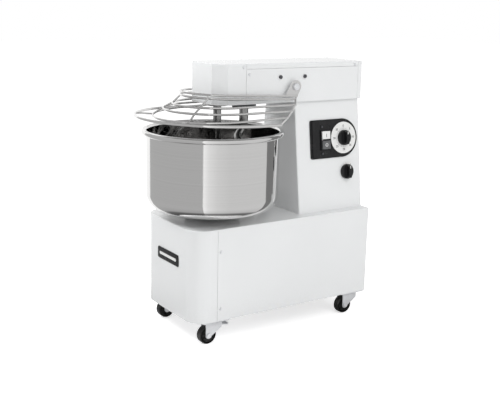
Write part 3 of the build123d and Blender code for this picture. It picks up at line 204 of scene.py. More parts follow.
def addFloor():
    half = studio["floorSize"] / 2
    mesh = bpy.data.meshes.new("floor")
    corners = [(-half, -half, 0), (half, -half, 0), (half, half, 0), (-half, half, 0)]
    mesh.from_pydata(corners, [], [(0, 1, 2, 3)])
    material = bpy.data.materials.new("paleFloor")
    tree = bareTree(material)
    toCamera, toMetal = studio["floorGlow"]
    fromCamera, shiny = rays(tree)
    level = maths(tree, "MULTIPLY_ADD", fromCamera, toCamera, maths(tree, "MULTIPLY", shiny, toMetal))
    glow = addNode(tree, "Emission", {"Strength": level})
    diffuse = addNode(tree, "BsdfDiffuse", {"Color": studio["floorColor"]})
    both = addNode(tree, "AddShader", {0: diffuse[0], 1: glow[0]})
    addNode(tree, "OutputMaterial", {0: both[0]})
    mesh.materials.append(material)
    addObject("floor", mesh)


def addBoards():
    middle = boxOf("bowl")[2]
    toCamera = Vector(viewPoint["place"]) - middle
    start = math.atan2(toCamera.y, toCamera.x)
    rows = len(boardRows)
    for name, marks in boards.items():
        turns, levels = zip(*marks)
        corners, faces, glows = [], [], []
        for step in range(boardSteps + 1):
            turn = turns[0] + (turns[-1] - turns[0]) * step / boardSteps
            angle = start + math.radians(turn)
            for away, height, share in boardRows:
                corners.append((middle.x + away * math.cos(angle), middle.y + away * math.sin(angle), height))
                glows.append(float(np.interp(turn, turns, levels)) * share)
            if step:
                feet = range(rows * step, rows * (step + 1) - 1)
                faces += [(foot, foot + 1, foot + 1 - rows, foot - rows) for foot in feet]
        mesh = bpy.data.meshes.new(name)
        mesh.from_pydata(corners, [], faces)
        mesh.attributes.new("glow", "FLOAT", "POINT").data.foreach_set("value", glows)
        material = bpy.data.materials.new(name)
        tree = bareTree(material)
        level = addNode(tree, "Attribute", attribute_name="glow")["Fac"]
        glow = addNode(tree, "Emission", {"Strength": level})
        addNode(tree, "OutputMaterial", {0: glow[0]})
        mesh.materials.append(material)
        unseen = ("camera", "diffuse", "transmission", "volume_scatter", "shadow")
        setAll(addObject(name, mesh), **{"visible_" + ray: False for ray in unseen})


def addLamps():
    for name, (place, power, size) in studio["lamps"].items():
        lamp = setAll(bpy.data.lights.new(name, "AREA"), shape="DISK", size=size, energy=power)
        toAim = Vector(studio["lampAim"]) - Vector(place)
        turn = toAim.to_track_quat("-Z", "Y").to_euler()
        holder = setAll(addObject(name, lamp), location=place, rotation_euler=turn)
        setAll(holder, visible_glossy=False, visible_camera=False)


addCamera()
addWorld()
addFloor()
addBoards()
addLamps()
print("camera and studio")

# shared surface effects: each gives a colour, a roughness and a height for the bump

skinOutputs = (("Color", "Color"), ("Roughness", "Float"), ("Height", "Float"))
skinMaking = {
    "dustHeights": (0.06, 0.16),  # dust gathers below the first and ends at the second
    "dustColor": (0.42, 0.40, 0.37, 1),
    "rubColor": (0.35, 0.34, 0.33, 1),
    "rubGloss": 0.12,
}


def mixColor(tree, factor, first, second):
    return addNode(tree, "Mix", {0: factor, 6: first, 7: second}, data_type="RGBA")[2]


def makePaintSkin():
    group, given, made = newTree("paintSkin", "ShaderNodeTree", (
        ("Tint", "Color", (0.8, 0.8, 0.8, 1)), ("Scale", "Float", 420), ("Depth", "Float", 0.3),
        ("Gloss", "Float", 0.25), ("Spread", "Float", 0.06), ("Dust", "Float", 0.08),
    ), skinOutputs)
    place = ownPlace(group)
    peel = noise(group, place, given["Scale"], 2.0)
    wide = noise(group, place, 5.0, 4.0)
    speck = noise(group, place, 160.0, 6.0, 0.7)
    height = addNode(group, "SeparateXYZ", {0: place})["Z"]
    low = remap(group, height, *skinMaking["dustHeights"], 1.0, 0.0, "SMOOTHSTEP")
    dusty = maths(group, "MULTIPLY", low, remap(group, speck, 0.45, 0.75))
    dusty = maths(group, "MULTIPLY", dusty, given["Dust"])
    tinted = scaled(group, given["Tint"], remap(group, wide, 0.3, 0.7, 0.985, 1.012))
    color = mixColor(group, dusty, tinted, skinMaking["dustColor"])
    rough = maths(group, "MULTIPLY_ADD", wide, given["Spread"], given["Gloss"])
    return giveOut(group, made, color, rough, maths(group, "MULTIPLY", peel, given["Depth"]))


def makeMetalGrain():
    group, given, made = newTree("metalGrain", "ShaderNodeTree", (
        ("Place", "Vector", (0, 0, 0)), ("Tint", "Color", (0.7, 0.7, 0.7, 1)), ("Gloss", "Float", 0.2),
        ("Spread", "Float", 0.1), ("Smudge", "Float", 0.1), ("Depth", "Float", 0.2),
    ), skinOutputs)
    grain = noise(group, given["Place"], 1.0, 5.0, 0.65)
    smear = noise(group, ownPlace(group), 11.0, 5.0, 0.6)
    touched = maths(group, "MULTIPLY", remap(group, smear, 0.48, 0.72, kind="SMOOTHSTEP"), given["Smudge"])
    rough = maths(group, "MULTIPLY_ADD", grain, given["Spread"], given["Gloss"])
    rough = maths(group, "ADD", rough, touched)
    tinted = scaled(group, given["Tint"], remap(group, grain, 0.3, 0.7, 0.94, 1.03))
    return giveOut(group, made, tinted, rough, maths(group, "MULTIPLY", grain, given["Depth"]))


def makeMoulding():
    group, given, made = newTree("mouldedSkin", "ShaderNodeTree", (
        ("Tint", "Color", (0.02, 0.02, 0.02, 1)), ("Scale", "Float", 900), ("Depth", "Float", 0.3),
        ("Gloss", "Float", 0.4), ("Rub", "Float", 0.1),
    ), skinOutputs)
    place = ownPlace(group)
    cells = {"Vector": place, "Scale": given["Scale"]}
    fine = addNode(group, "TexVoronoi", cells, feature="SMOOTH_F1")["Distance"]
    wide = noise(group, place, 38.0, 6.0, 0.65)
    rubbed = maths(group, "MULTIPLY", remap(group, wide, 0.5, 0.8), given["Rub"])
    color = mixColor(group, rubbed, given["Tint"], skinMaking["rubColor"])
    rough = maths(group, "MULTIPLY_ADD", wide, skinMaking["rubGloss"], given["Gloss"])
    return giveOut(group, made, color, rough, maths(group, "MULTIPLY", fine, given["Depth"]))


skins = {"paint": makePaintSkin(), "metal": makeMetalGrain(), "moulded": makeMoulding()}


def newMaterial(name, skin, tint, values, bumpReach=0.0002, place=None):
    # values go to the skin's inputs of those names, or else to the shader's own
    material = setAll(bpy.data.materials.new(name), use_nodes=True, diffuse_color=(*tint, 1))
    tree = material.node_tree
    shader = tree.nodes["Principled BSDF"]
    group = setAll(tree.nodes.new("ShaderNodeGroup"), node_tree=skins[skin])
    group.inputs["Tint"].default_value = (*tint, 1)
    for key, value in values.items():
        owner = group if key in group.inputs else shader
        owner.inputs[key].default_value = value
    if place:
        tree.links.new(place(tree), group.inputs["Place"])
    color, rough, height = group.outputs
    bump = addNode(tree, "Bump", {"Distance": bumpReach, "Strength": 1.0, "Height": height})[0]
    for value, label in ((color, "Base Color"), (rough, "Roughness"), (bump, "Normal")):
        tree.links.new(value, shader.inputs[label])
    return material


def stretched(*scale):
    def build(tree):
        place = ownPlace(tree)
        return addNode(tree, "Mapping", {"Vector": place, "Scale": scale})[0]
    return build


def turnedRound(centre, fine):
    # coordinates that run along an upright axis and out from it, so that the grain goes round
    def build(tree):
        place = ownPlace(tree)
        back = (-centre[0], -centre[1], 0)
        moved = addNode(tree, "Mapping", {"Vector": place, "Location": back})
        split = addNode(tree, "SeparateXYZ", {0: moved[0]})
        flat = addNode(tree, "CombineXYZ", {"X": split["X"], "Y": split["Y"]})
        out = addNode(tree, "VectorMath", {0: flat[0]}, operation="LENGTH")["Value"]
        return scaled(tree, addNode(tree, "CombineXYZ", {"X": out, "Y": split["Z"]})[0], fine)
    return build


finishes = {
    "white_paint": newMaterial("whiteEnamel", "paint", (0.80, 0.81, 0.815), {
        "Scale": 380, "Depth": 0.25, "Gloss": 0.17, "Spread": 0.08,
        "Coat Weight": 0.25, "Coat Roughness": 0.08,
    }, 0.00012),
    "grey_paint": newMaterial("darkBolt", "metal", (0.12, 0.12, 0.13), {
        "Gloss": 0.3, "Spread": 0.15, "Smudge": 0.1, "Metallic": 1.0,
    }, place=stretched(300, 300, 300)),
    "frame_steel": newMaterial("frameSteel", "metal", (0.42, 0.42, 0.43), {
        "Gloss": 0.42, "Spread": 0.2, "Smudge": 0.2, "Metallic": 1.0,
    }, place=stretched(60, 60, 60)),
    "polished_steel": newMaterial("polishedSteel", "metal", (0.78, 0.775, 0.77), {
        "Gloss": 0.05, "Spread": 0.03, "Smudge": 0.05, "Depth": 0.04, "Metallic": 1.0,
    }, 0.00002, turnedRound(boxOf("bowl")[2], 1400)),
    # painted shade: this steel's tint is darker than bare steel, standing in for the dark reflections on the
    # shafts and the breaker bar
    "satin_steel": newMaterial("satinSteel", "metal", (0.36, 0.36, 0.355), {
        "Gloss": 0.12, "Spread": 0.12, "Smudge": 0.08, "Depth": 0.15, "Metallic": 1.0,
    }, 0.00004, stretched(900, 900, 60)),
    "bearing_steel": newMaterial("machinedSteel", "metal", (0.5, 0.5, 0.51), {
        "Gloss": 0.24, "Spread": 0.2, "Smudge": 0.15, "Metallic": 1.0,
    }, place=stretched(200, 200, 900)),
    "zinc": newMaterial("brightZinc", "metal", (0.83, 0.84, 0.86), {
        "Gloss": 0.22, "Spread": 0.22, "Smudge": 0.18, "Depth": 0.4, "Metallic": 0.6,
    }, 0.00005, stretched(140, 140, 140)),
    "cast_grey": newMaterial("castIron", "paint", (0.10, 0.105, 0.11), {
        "Scale": 260, "Depth": 1.0, "Gloss": 0.42, "Spread": 0.2,
    }, 0.0006),
    "motor_aluminium": newMaterial("castAluminium", "metal", (0.5, 0.51, 0.52), {
        "Gloss": 0.42, "Spread": 0.2, "Smudge": 0.2, "Depth": 0.8, "Metallic": 1.0,
    }, 0.0003, stretched(420, 420, 420)),
    "black_plastic": newMaterial("blackPlastic", "moulded", (0.010, 0.010, 0.011), {
        "Scale": 1300, "Depth": 0.25, "Gloss": 0.20, "Rub": 0.04, "Specular IOR Level": 0.3,
    }, 0.00008),
    "white_plastic": newMaterial("whitePlastic", "moulded", (0.80, 0.80, 0.79), {
        "Scale": 700, "Depth": 0.05, "Gloss": 0.22, "Rub": 0.02,
    }, 0.00003),
    "grey_plastic": newMaterial("greyPlastic", "moulded", (0.11, 0.112, 0.116), {
        "Scale": 700, "Depth": 0.1, "Gloss": 0.22, "Rub": 0.04,
    }, 0.00005),
    "wheel_rubber": newMaterial("wheelRubber", "moulded", (0.012, 0.012, 0.012), {
        "Scale": 500, "Depth": 0.5, "Gloss": 0.42, "Rub": 0.18, "Specular IOR Level": 0.35,
    }, 0.00012),
}
for node, thing in cad.items():
    thing.data.materials.clear()
    thing.data.materials.append(finishes[slotOf[node]])
print("materials:", len(finishes))

# helpers for meshes and for what they say to the frame


def smoothed(mesh, sharp):
    # smooth shading, broken where faces meet at more than the sharp angle
    mesh.shade_smooth()
    mesh.set_sharp_from_angle(angle=math.radians(sharp))
    return mesh


def closeShape(shape, name, sharp=None, finish=None, outward=False):
    # ends a working shape as a mesh
    if outward:
        bmesh.ops.recalc_face_normals(shape, faces=shape.faces)
    mesh = bpy.data.meshes.new(name)
    shape.to_mesh(mesh)
    shape.free()
    if finish:
        mesh.materials.append(finishes[finish])
    return smoothed(mesh, sharp) if sharp else mesh


def band(shape, *rings):
    # faces between each closed ring of points and the next, where an end may be a single point
    for below, above in zip(rings, rings[1:]):
        steps = max(len(below), len(above))
        for index in range(steps):
            after = (index + 1) % steps
            low = (below[index % len(below)], below[after % len(below)])
            high = (above[after % len(above)], above[index % len(above)])
            shape.faces.new(tuple(dict.fromkeys(low + high)))


def strip(shape, first, second):
    # faces between two open rows of points
    for index in range(len(first) - 1):
        shape.faces.new((first[index], first[index + 1], second[index + 1], second[index]))


def laid(shape, points, height):
    return [shape.verts.new((*point, height)) for point in points]


def prism(shape, outline, *heights):
    rings = [laid(shape, outline, height) for height in heights]
    shape.faces.new(rings[0][::-1])
    shape.faces.new(rings[1])
    band(shape, *rings)


def arcPoints(centre, radius, start, end, count):
    angles = [math.radians(start + (end - start) * index / count) for index in range(count + 1)]
    return [(centre[0] + radius * math.cos(angle), centre[1] + radius * math.sin(angle)) for angle in angles]


def circle(centre, radius, count):
    return arcPoints(centre, radius, 0, 360, count)[:-1]


def turned(name, profile, steps, sharp=None, finish=None, centre=(0, 0)):
    # a solid of revolution round an upright axis; the profile ends on the axis, or else closes on itself
    shape = bmesh.new()
    rings = [laid(shape, circle(centre, size, steps if size else 1), height) for size, height in profile]
    if profile[0][0]:
        rings.append(rings[0])
    band(shape, *rings)
    return closeShape(shape, name, sharp, finish, outward=True)


def placed(mesh, *moves):
    for move in moves:
        mesh.transform(move)
    return mesh


def joined(name, meshes):
    # one mesh of several, each face keeping its material
    shape = bmesh.new()
    whole = bpy.data.meshes.new(name)
    for mesh in meshes:
        known = len(shape.faces)
        shape.from_mesh(mesh)
        shape.faces.ensure_lookup_table()
        for face in shape.faces[known:]:
            material = mesh.materials[face.material_index]
            if material.name not in whole.materials:
                whole.materials.append(material)
            face.material_index = whole.materials.find(material.name)
    shape.to_mesh(whole)
    shape.free()
    return whole


def recoated(mesh, finish):
    mesh.materials.clear()
    mesh.materials.append(finishes[finish])
    return mesh


def attach(piece, node):
    # rides on the node's body, beside the node's own shape
    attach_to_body(piece, bodyOf[node])


def stand(piece, node):
    # rides on the node's body in the node's place
    attach(piece, node)
    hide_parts(node)


# covers and frames: bevelled copies of the folded and turned solids

copyMaking = {"merge": 0.00001, "flat": 0.4, "sharp": 32, "bevelSegments": 2}
softEdges = {
    "front_panel": 0.0006, "side_panel_right": 0.0006, "side_panel_left": 0.0006, "rear_panel": 0.0006,
    "deck_plate": 0.0, "column_shell": 0.0006, "head_housing": 0.0006, "head_front_cover": 0.0006,
    "head_lid": 0.0006, "head_rear_cover": 0.0006, "badge_plate": 0.0, "control_plate": 0.0008,
    "switch_frame": 0.0006, "dial_ring": 0.0003, "speed_label": 0.0002, "bowl_spindle": 0.001,
    "bowl_bolts": 0.0004, "bowl_bearing_housing": 0.001, "spiral_bearing_housing": 0.0, "spiral_hook": 0.0,
    "breaker_bar": 0.0, "guard_pivot_bolts": 0.0006, "cable_gland": 0.0004, "caster_plates": 0.0004,
    "start_button": 0.0, "stop_button": 0.0, "base_frame": 0.0,
}
for node in cad:
    if node.startswith(("caster_fork", "brake_lever", "caster_wheel")):
        softEdges[node] = 0.0005
    if node in ("timer_knob", "speed_knob"):
        softEdges[node] = 0.0008


def mergedShape(node):
    shape = bmesh.new()
    shape.from_mesh(cad[node].data)
    bmesh.ops.remove_doubles(shape, verts=shape.verts, dist=copyMaking["merge"])
    return shape


def softCopy(node, width):
    first, *others = node.split("_")
    shape = mergedShape(node)
    flat = math.radians(copyMaking["flat"])
    bmesh.ops.dissolve_limit(shape, angle_limit=flat, verts=shape.verts, edges=shape.edges)
    name = first + "".join(word.capitalize() for word in others)
    copy = addObject(name, closeShape(shape, name, copyMaking["sharp"], slotOf[node]))
    if width:
        setAll(
            copy.modifiers.new("edges", "BEVEL"), width=width, segments=copyMaking["bevelSegments"],
            limit_method="ANGLE", angle_limit=math.radians(copyMaking["sharp"]), harden_normals=False,
        )
        copy.modifiers.new("shading", "WEIGHTED_NORMAL").keep_sharp = True
    stand(copy, node)


for node, width in softEdges.items():
    softCopy(node, width)
print("softened copies:", len(softEdges))

# stainless bowl, spun from sheet with a rolled rim

bowlMaking = {
    "wallRadius": 0.179, "sheet": 0.0015, "bottomCurve": 0.042,
    "steps": 256, "curveSteps": 24, "rimSteps": 32,
    "flatEdge": 0.02,  # the flat bottom ends this far inside the curve
    "shortRow": 0.001,  # short rows at the straight wall's two ends keep its shading straight
}


def makeBowl():
    low, high, middle = boxOf("bowl")
    wall, sheet, curve, flatEdge = pick(bowlMaking, "wallRadius", "sheet", "bottomCurve", "flatEdge")
    short, steps, rimSteps, turns = pick(bowlMaking, "shortRow", "curveSteps", "rimSteps", "steps")
    bead = ((high.x - low.x) / 2 - (wall - sheet)) / 2
    rim = (wall - sheet + bead, high.z - bead)
    meet = math.degrees(math.asin((wall - rim[0]) / bead))
    bend = (wall - curve, low.z + curve)
    flat = bend[0] - flatEdge
    wallEnds = (bend[1] + short, rim[1] - bead * math.cos(math.radians(meet)) - short)
    profile = [(0, low.z), (flat, low.z)]
    profile += arcPoints(bend, curve, -90, 0, steps)
    profile += [(wall, height) for height in wallEnds]
    profile += arcPoints(rim, bead, -90 + meet, 180, rimSteps)
    profile += [(wall - sheet, rim[1] - short), (wall - sheet, wallEnds[0])]
    profile += arcPoints(bend, curve - sheet, 0, -90, steps)
    profile += [(flat, low.z + sheet), (0, low.z + sheet)]
    stand(addObject("bowl.spun", turned("bowl", profile, turns, 35, "polished_steel", middle)), "bowl")


makeBowl()
print("bowl")

# pieces that repeat or follow a path, grown by geometry nodes

geometry = (("Geometry", "Geometry"),)


def coated(tree, given, made, grown):
    real = addNode(tree, "GeometryNodeRealizeInstances", {"Geometry": grown})
    coat = addNode(tree, "GeometryNodeSetMaterial", {"Geometry": real[0], "Material": given["Material"]})
    return giveOut(tree, made, coat[0])


def named(tree, name, kind):
    return addNode(tree, "GeometryNodeInputNamedAttribute", {"Name": name}, data_type=kind)[0]


def makeSeatTree():
    # sets a copy of one piece on each point, standing along the point's facing
    tree, given, made = newTree("seatPieces", "GeometryNodeTree", (
        *geometry, ("Piece", "Object"), ("Spin", "Float", 0.0), ("Seed", "Int", 7), ("Material", "Material"),
    ), geometry)
    alignment = "FunctionNodeAlignRotationToVector"
    upright = addNode(tree, alignment, {"Vector": named(tree, "facing", "FLOAT_VECTOR")}, axis="Z")[0]
    ways = {"Rotation": upright, "Vector": named(tree, "along", "FLOAT_VECTOR")}
    headed = addNode(tree, alignment, ways, axis="X", pivot_axis="Z")[0]
    limits = {3: given["Spin"], "Seed": given["Seed"]}
    chance = addNode(tree, "FunctionNodeRandomValue", limits, data_type="FLOAT")[1]
    angles = addNode(tree, "CombineXYZ", {"Z": chance})[0]
    twist = addNode(tree, "FunctionNodeEulerToRotation", {"Euler": angles})[0]
    turns = {"Rotation": headed, "Rotate By": twist}
    turn = addNode(tree, "FunctionNodeRotateRotation", turns, rotation_space="LOCAL")[0]
    piece = addNode(tree, "GeometryNodeObjectInfo", {"Object": given["Piece"]}, transform_space="ORIGINAL")
    spots = {"Points": given["Geometry"], "Instance": piece["Geometry"], "Rotation": turn}
    return coated(tree, given, made, addNode(tree, "GeometryNodeInstanceOnPoints", spots)[0])


def makeWireTree():
    # a round wire along every run of edges, as thick as its points say
    tree, given, made = newTree("bentWire", "GeometryNodeTree", (
        *geometry, ("Sides", "Int", 16), ("Material", "Material"),
    ), geometry)
    run = addNode(tree, "GeometryNodeMeshToCurve", {"Mesh": given["Geometry"]})
    ring = addNode(tree, "GeometryNodeCurvePrimitiveCircle", {"Resolution": given["Sides"], "Radius": 1.0})
    thick = named(tree, "thick", "FLOAT")
    wire = {"Curve": run[0], "Profile Curve": ring[0], "Scale": thick, "Fill Caps": True}
    return coated(tree, given, made, addNode(tree, "GeometryNodeCurveToMesh", wire)[0])


def makeCrossHeadTree():
    # a pan head with a cross recess, standing on the origin
    tree, given, made = newTree("crossHead", "GeometryNodeTree", (
        *geometry, ("Radius", "Float", 0.004), ("Height", "Float", 0.0024), ("Slot", "Float", 0.0011),
        ("Material", "Material"),
    ), geometry)
    radius, height = given["Radius"], given["Height"]
    sizes = {
        "Vertices": 24, "Side Segments": 1, "Radius Top": maths(tree, "MULTIPLY", radius, 0.8),
        "Radius Bottom": radius, "Depth": height,
    }
    head = addNode(tree, "GeometryNodeMeshCone", sizes)["Mesh"]
    reach = maths(tree, "MULTIPLY", radius, 1.15)
    bars = tree.nodes.new("GeometryNodeJoinGeometry")
    raised = addNode(tree, "CombineXYZ", {"Z": height})[0]
    for long, short in (("X", "Y"), ("Y", "X")):
        size = addNode(tree, "CombineXYZ", {long: reach, short: given["Slot"], "Z": height})[0]
        block = addNode(tree, "GeometryNodeMeshCube", {"Size": size})[0]
        moved = addNode(tree, "GeometryNodeTransform", {"Geometry": block, "Translation": raised})[0]
        tree.links.new(moved, bars.inputs[0])
    cut = addNode(tree, "GeometryNodeMeshBoolean", {0: head, 1: bars.outputs[0]}, operation="DIFFERENCE")
    return coated(tree, given, made, cut["Mesh"])


trees = {"seat": makeSeatTree(), "wire": makeWireTree(), "crossHead": makeCrossHeadTree()}


def grow(name, tree, values, start=None):
    # runs a tree on a start mesh, or on none, and keeps only the plain mesh that comes out
    holder = addObject(name + "Start", start or bpy.data.meshes.new(name + "Start"))
    modifier = holder.modifiers.new("making", "NODES")
    modifier.node_group = tree
    for item in tree.interface.items_tree:
        if item.item_type == "SOCKET" and item.in_out == "INPUT" and item.name in values:
            modifier[item.identifier] = values[item.name]
    evaluated = holder.evaluated_get(bpy.context.evaluated_depsgraph_get())
    mesh = bpy.data.meshes.new_from_object(evaluated)
    mesh.name = name
    holder.modifiers.remove(modifier)
    bpy.data.objects.remove(holder)
    return mesh


def seat(name, seats, shape, finish, spin=0.0, seed=7):
    # seats are (place, facing) or (place, facing, along)
    piece = addObject(name + "Piece", shape)
    points = bpy.data.meshes.new(name + "Points")
    points.from_pydata([spot[0] for spot in seats], [], [])
    for index, label in ((1, "facing"), (2, "along")):
        values = points.attributes.new(label, "FLOAT_VECTOR", "POINT")
        ways = [spot[index] if len(spot) > index else (0, 0, 0) for spot in seats]
        values.data.foreach_set("vector", [number for way in ways for number in way])
    sizes = {"Piece": piece, "Spin": spin, "Seed": seed, "Material": finishes[finish]}
    mesh = grow(name, trees["seat"], sizes, points)
    bpy.data.objects.remove(piece)
    return mesh


def bendWires(name, wires, finish, sides=16):
    # wires are (points, radius)
    points, edges, thick = [], [], []
    for run, radius in wires:
        first = len(points)
        points += [tuple(point) for point in run]
        edges += [(first + index, first + index + 1) for index in range(len(run) - 1)]
        thick += [radius] * len(run)
    start = bpy.data.meshes.new(name + "Line")
    start.from_pydata(points, edges, [])
    start.attributes.new("thick", "FLOAT", "POINT").data.foreach_set("value", thick)
    return smoothed(grow(name, trees["wire"], {"Sides": sides, "Material": finishes[finish]}, start), 50)


def looseParts(node):
    # the separate solids of a CAD node, each as an array of points
    shape = mergedShape(node)
    left = set(shape.verts)
    parts = []
    while left:
        front = [left.pop()]
        found = list(front)
        while front:
            for edge in front.pop().link_edges:
                for vert in edge.verts:
                    if vert in left:
                        left.discard(vert)
                        front.append(vert)
                        found.append(vert)
        parts.append(np.array([vert.co[:] for vert in found]))
    shape.free()
    return parts


def discSeat(points, thin=True):
    # the foot, the outward axis and the height of a disc or pin, away from the machine's middle
    middle = points.mean(axis=0)
    spread = np.linalg.svd(points - middle, full_matrices=False)[2]
    axis = spread[2] if thin else spread[0]
    if axis[0] * middle[0] + axis[1] * middle[1] < 0:
        axis = -axis
    heights = (points - middle) @ axis
    return Vector(middle + axis * heights.min()), Vector(axis), float(heights.max() - heights.min())


def bar(width, height, depth, rounding=0.0):
    # a flat bar on the origin, its corners rounded by that radius
    outline = []
    for x, y, start in ((1, 1, 0), (-1, 1, 90), (-1, -1, 180), (1, -1, 270)):
        corner = (x * (width / 2 - rounding), y * (height / 2 - rounding))
        outline += arcPoints(corner, rounding, start, start + 90, 6)
    shape = bmesh.new()
    prism(shape, outline, 0, depth)
    bmesh.ops.remove_doubles(shape, verts=shape.verts, dist=1e-7)
    return closeShape(shape, "bar")


print("trees:", len(trees))

# screws of the covers, and the hexagon bolts that hold the head's frame

fastenerMaking = {
    "slot": 0.0011,
    "hexAcross": 0.0092, "hexHeight": 0.005, "shank": 0.004, "chamfer": 0.0009, "shankSides": 24,
    "darkWithin": 0.045,  # from the switch's middle, the blackened screws
}


def hexHead(across, height, chamfer, shank=0.0, shankLength=0.0):
    # a hexagon head with its corners turned off, on a round shank that reaches below the origin
    shape = bmesh.new()
    corner, top = across / math.sqrt(3), across / 2 - 0.4 * chamfer
    rings = []
    sides, edge = (corner, across / 2), height - 0.2 * chamfer
    for level, radii, drop in ((0, sides, 0), (edge, sides, chamfer), (height, (top, top), 0)):
        around = [circle((0, 0), radius, 12) for radius in radii]
        rings.append([shape.verts.new((*around[index % 2][index], level - (0 if index % 2 else drop)))
                      for index in range(12)])
    band(shape, *rings)
    shape.faces.new(rings[-1])
    shape.faces.new(rings[0][::-1])
    if shankLength:
        bmesh.ops.create_cone(
            shape, cap_ends=True, segments=fastenerMaking["shankSides"], radius1=shank, radius2=shank,
            depth=shankLength, matrix=Matrix.Translation((0, 0, -shankLength / 2)),
        )
    return closeShape(shape, "hexHead", 25)


def makeScrews():
    switchMiddle = boxOf("switch_frame")[2]
    seats = {"zinc": [], "grey_paint": []}
    for part in looseParts("cover_screws"):
        foot, axis, height = discSeat(part)
        radius = max(np.linalg.norm(np.cross(part - np.array(foot), np.array(axis)), axis=1))
        beside = (foot - switchMiddle).length < fastenerMaking["darkWithin"]
        seats["grey_paint" if beside else "zinc"].append((foot, axis))
    # the screws are all of one size, so that the last one's serves every head
    meshes = []
    for finish, spots in seats.items():
        sizes = {"Radius": float(radius), "Height": height, "Slot": fastenerMaking["slot"]}
        head = grow("crossHead", trees["crossHead"], {**sizes, "Material": finishes[finish]})
        meshes.append(seat(finish + "Screws", spots, head, finish, spin=math.pi / 2, seed=3))
    stand(addObject("screws.covers", smoothed(joined("coverScrews", meshes), 30)), "cover_screws")
    return len(seats["zinc"]), len(seats["grey_paint"])


def makeFrameBolts():
    across, tall, chamfer, shank = pick(fastenerMaking, "hexAcross", "hexHeight", "chamfer", "shank")
    seats = []
    for part in looseParts("frame_bolts"):
        foot, axis, length = discSeat(part, thin=False)
        seats.append((foot + axis * (length - tall), axis))
    shape = hexHead(across, tall, chamfer, shank, length - tall)
    bolts = seat("frameBolts", seats, shape, "grey_paint", spin=1.0, seed=5)
    stand(addObject("bolts.frame", bolts), "frame_bolts")


print("screws:", makeScrews())
makeFrameBolts()

# rear cover: a pressed hood over each air slot, and grips on the cable gland's nut

rearMaking = {
    "slots": 6, "slotPitch": 0.013,
    "hood": (0.094, 0.0088, 0.0034),  # length, height, depth
    "hoodEnd": 0.012, "hoodSheet": 0.0006, "hoodLift": 0.0002, "hoodSteps": (33, 8),
    "endHeight": 0.35,  # share of the height that is left at the hood's ends
    "gland": (-0.060, 0.125),  # across, height
    "glandNut": 0.0099, "glandGrips": 18, "grip": (0.0085, 0.0016, 0.0006), "gripFrom": 0.0075,
}


def hoodPiece():
    # a thin shell, open below, that runs out flat at both ends
    length, height, depth = rearMaking["hood"]
    end, least, (columns, levels) = pick(rearMaking, "hoodEnd", "endHeight", "hoodSteps")
    shape = bmesh.new()
    layers = []
    for inset in (0, rearMaking["hoodSheet"]):
        rows = []
        for across in np.linspace(-length / 2, length / 2, columns):
            past = max(0, abs(across) - (length / 2 - end)) / end
            swell = math.sqrt(max(0, 1 - past * past))
            row = []
            for angle in np.linspace(0, math.pi / 2, levels):
                up = (height - inset) * math.cos(angle) * (least + (1 - least) * swell) - height / 2
                out = rearMaking["hoodLift"] - inset + depth * math.sin(angle) * swell
                row.append(shape.verts.new((across, up, out)))
            rows.append(row)
        for before, here in zip(rows, rows[1:]):
            strip(shape, before, here)
        layers.append(rows)
    outer, inner = layers
    for place in (0, -1):
        strip(shape, outer[place], inner[place])
        strip(shape, [row[place] for row in outer], [row[place] for row in inner])
    return closeShape(shape, "hood", 40, outward=True)


def makeRear():
    high, middle = boxOf("rear_panel")[1:]
    slots, pitch, grips, reach = pick(rearMaking, "slots", "slotPitch", "glandGrips", "glandNut")
    first = middle.z - (slots - 1) / 2 * pitch
    seats = [((middle.x, high.y, first + index * pitch), (0, 1, 0), (-1, 0, 0)) for index in range(slots)]
    attach(addObject("hoods.rear", seat("rearHoods", seats, hoodPiece(), "white_paint")), "rear_panel")
    across, height = rearMaking["gland"]
    length, width, depth = rearMaking["grip"]
    foot = Vector((across, high.y + rearMaking["gripFrom"] + length / 2, height))
    ways = [Vector((x, 0, z)) for x, z in circle((0, 0), 1, grips)]
    seats = [(foot + way * (reach - depth / 2), way, (0, 1, 0)) for way in ways]
    mesh = seat("glandGrips", seats, bar(length, width, depth, width / 3), "black_plastic")
    attach(addObject("grips.gland", mesh), "cable_gland")


makeRear()

# wire guard: rings, side rods and ribs of round wire, welded where they cross, and two pivot ears

guardMaking = {
    "middle": -0.120,  # along Y
    "rings": [  # radius, height at the middle, end of the legs, thickness, rise toward the rear, rib's angle
        (0.094, 0.6515, 0.0805, 0.006, -0.042, 47),
        (0.094, 0.6425, 0.077, 0.006, -0.038, 47),
        (0.1145, 0.6225, 0.0617, 0.006, -0.003, 39),
        (0.1390, 0.6095, 0.0343, 0.006, 0.0, 36.5),
        (0.1665, 0.5945, 0.0013, 0.006, 0.029, 35.5),
        (0.214, 0.5885, -0.055, 0.008, -0.018, 34.5),
    ],
    "legWeld": 0.0015, "ribThickness": 0.005, "arcSteps": 72, "bead": (0.0036, 0.0031, 0.0028),
    "earFaces": (0.0905, 0.0935), "earPivot": (0.076, 0.668), "earRadius": 0.0175, "earHole": 0.00505,
    "earArc": (-25, 170, 48),  # from the rear, over the top, in steps
    "earFoot": ((0.041, 0.6425), (0.082, 0.6405)),
}


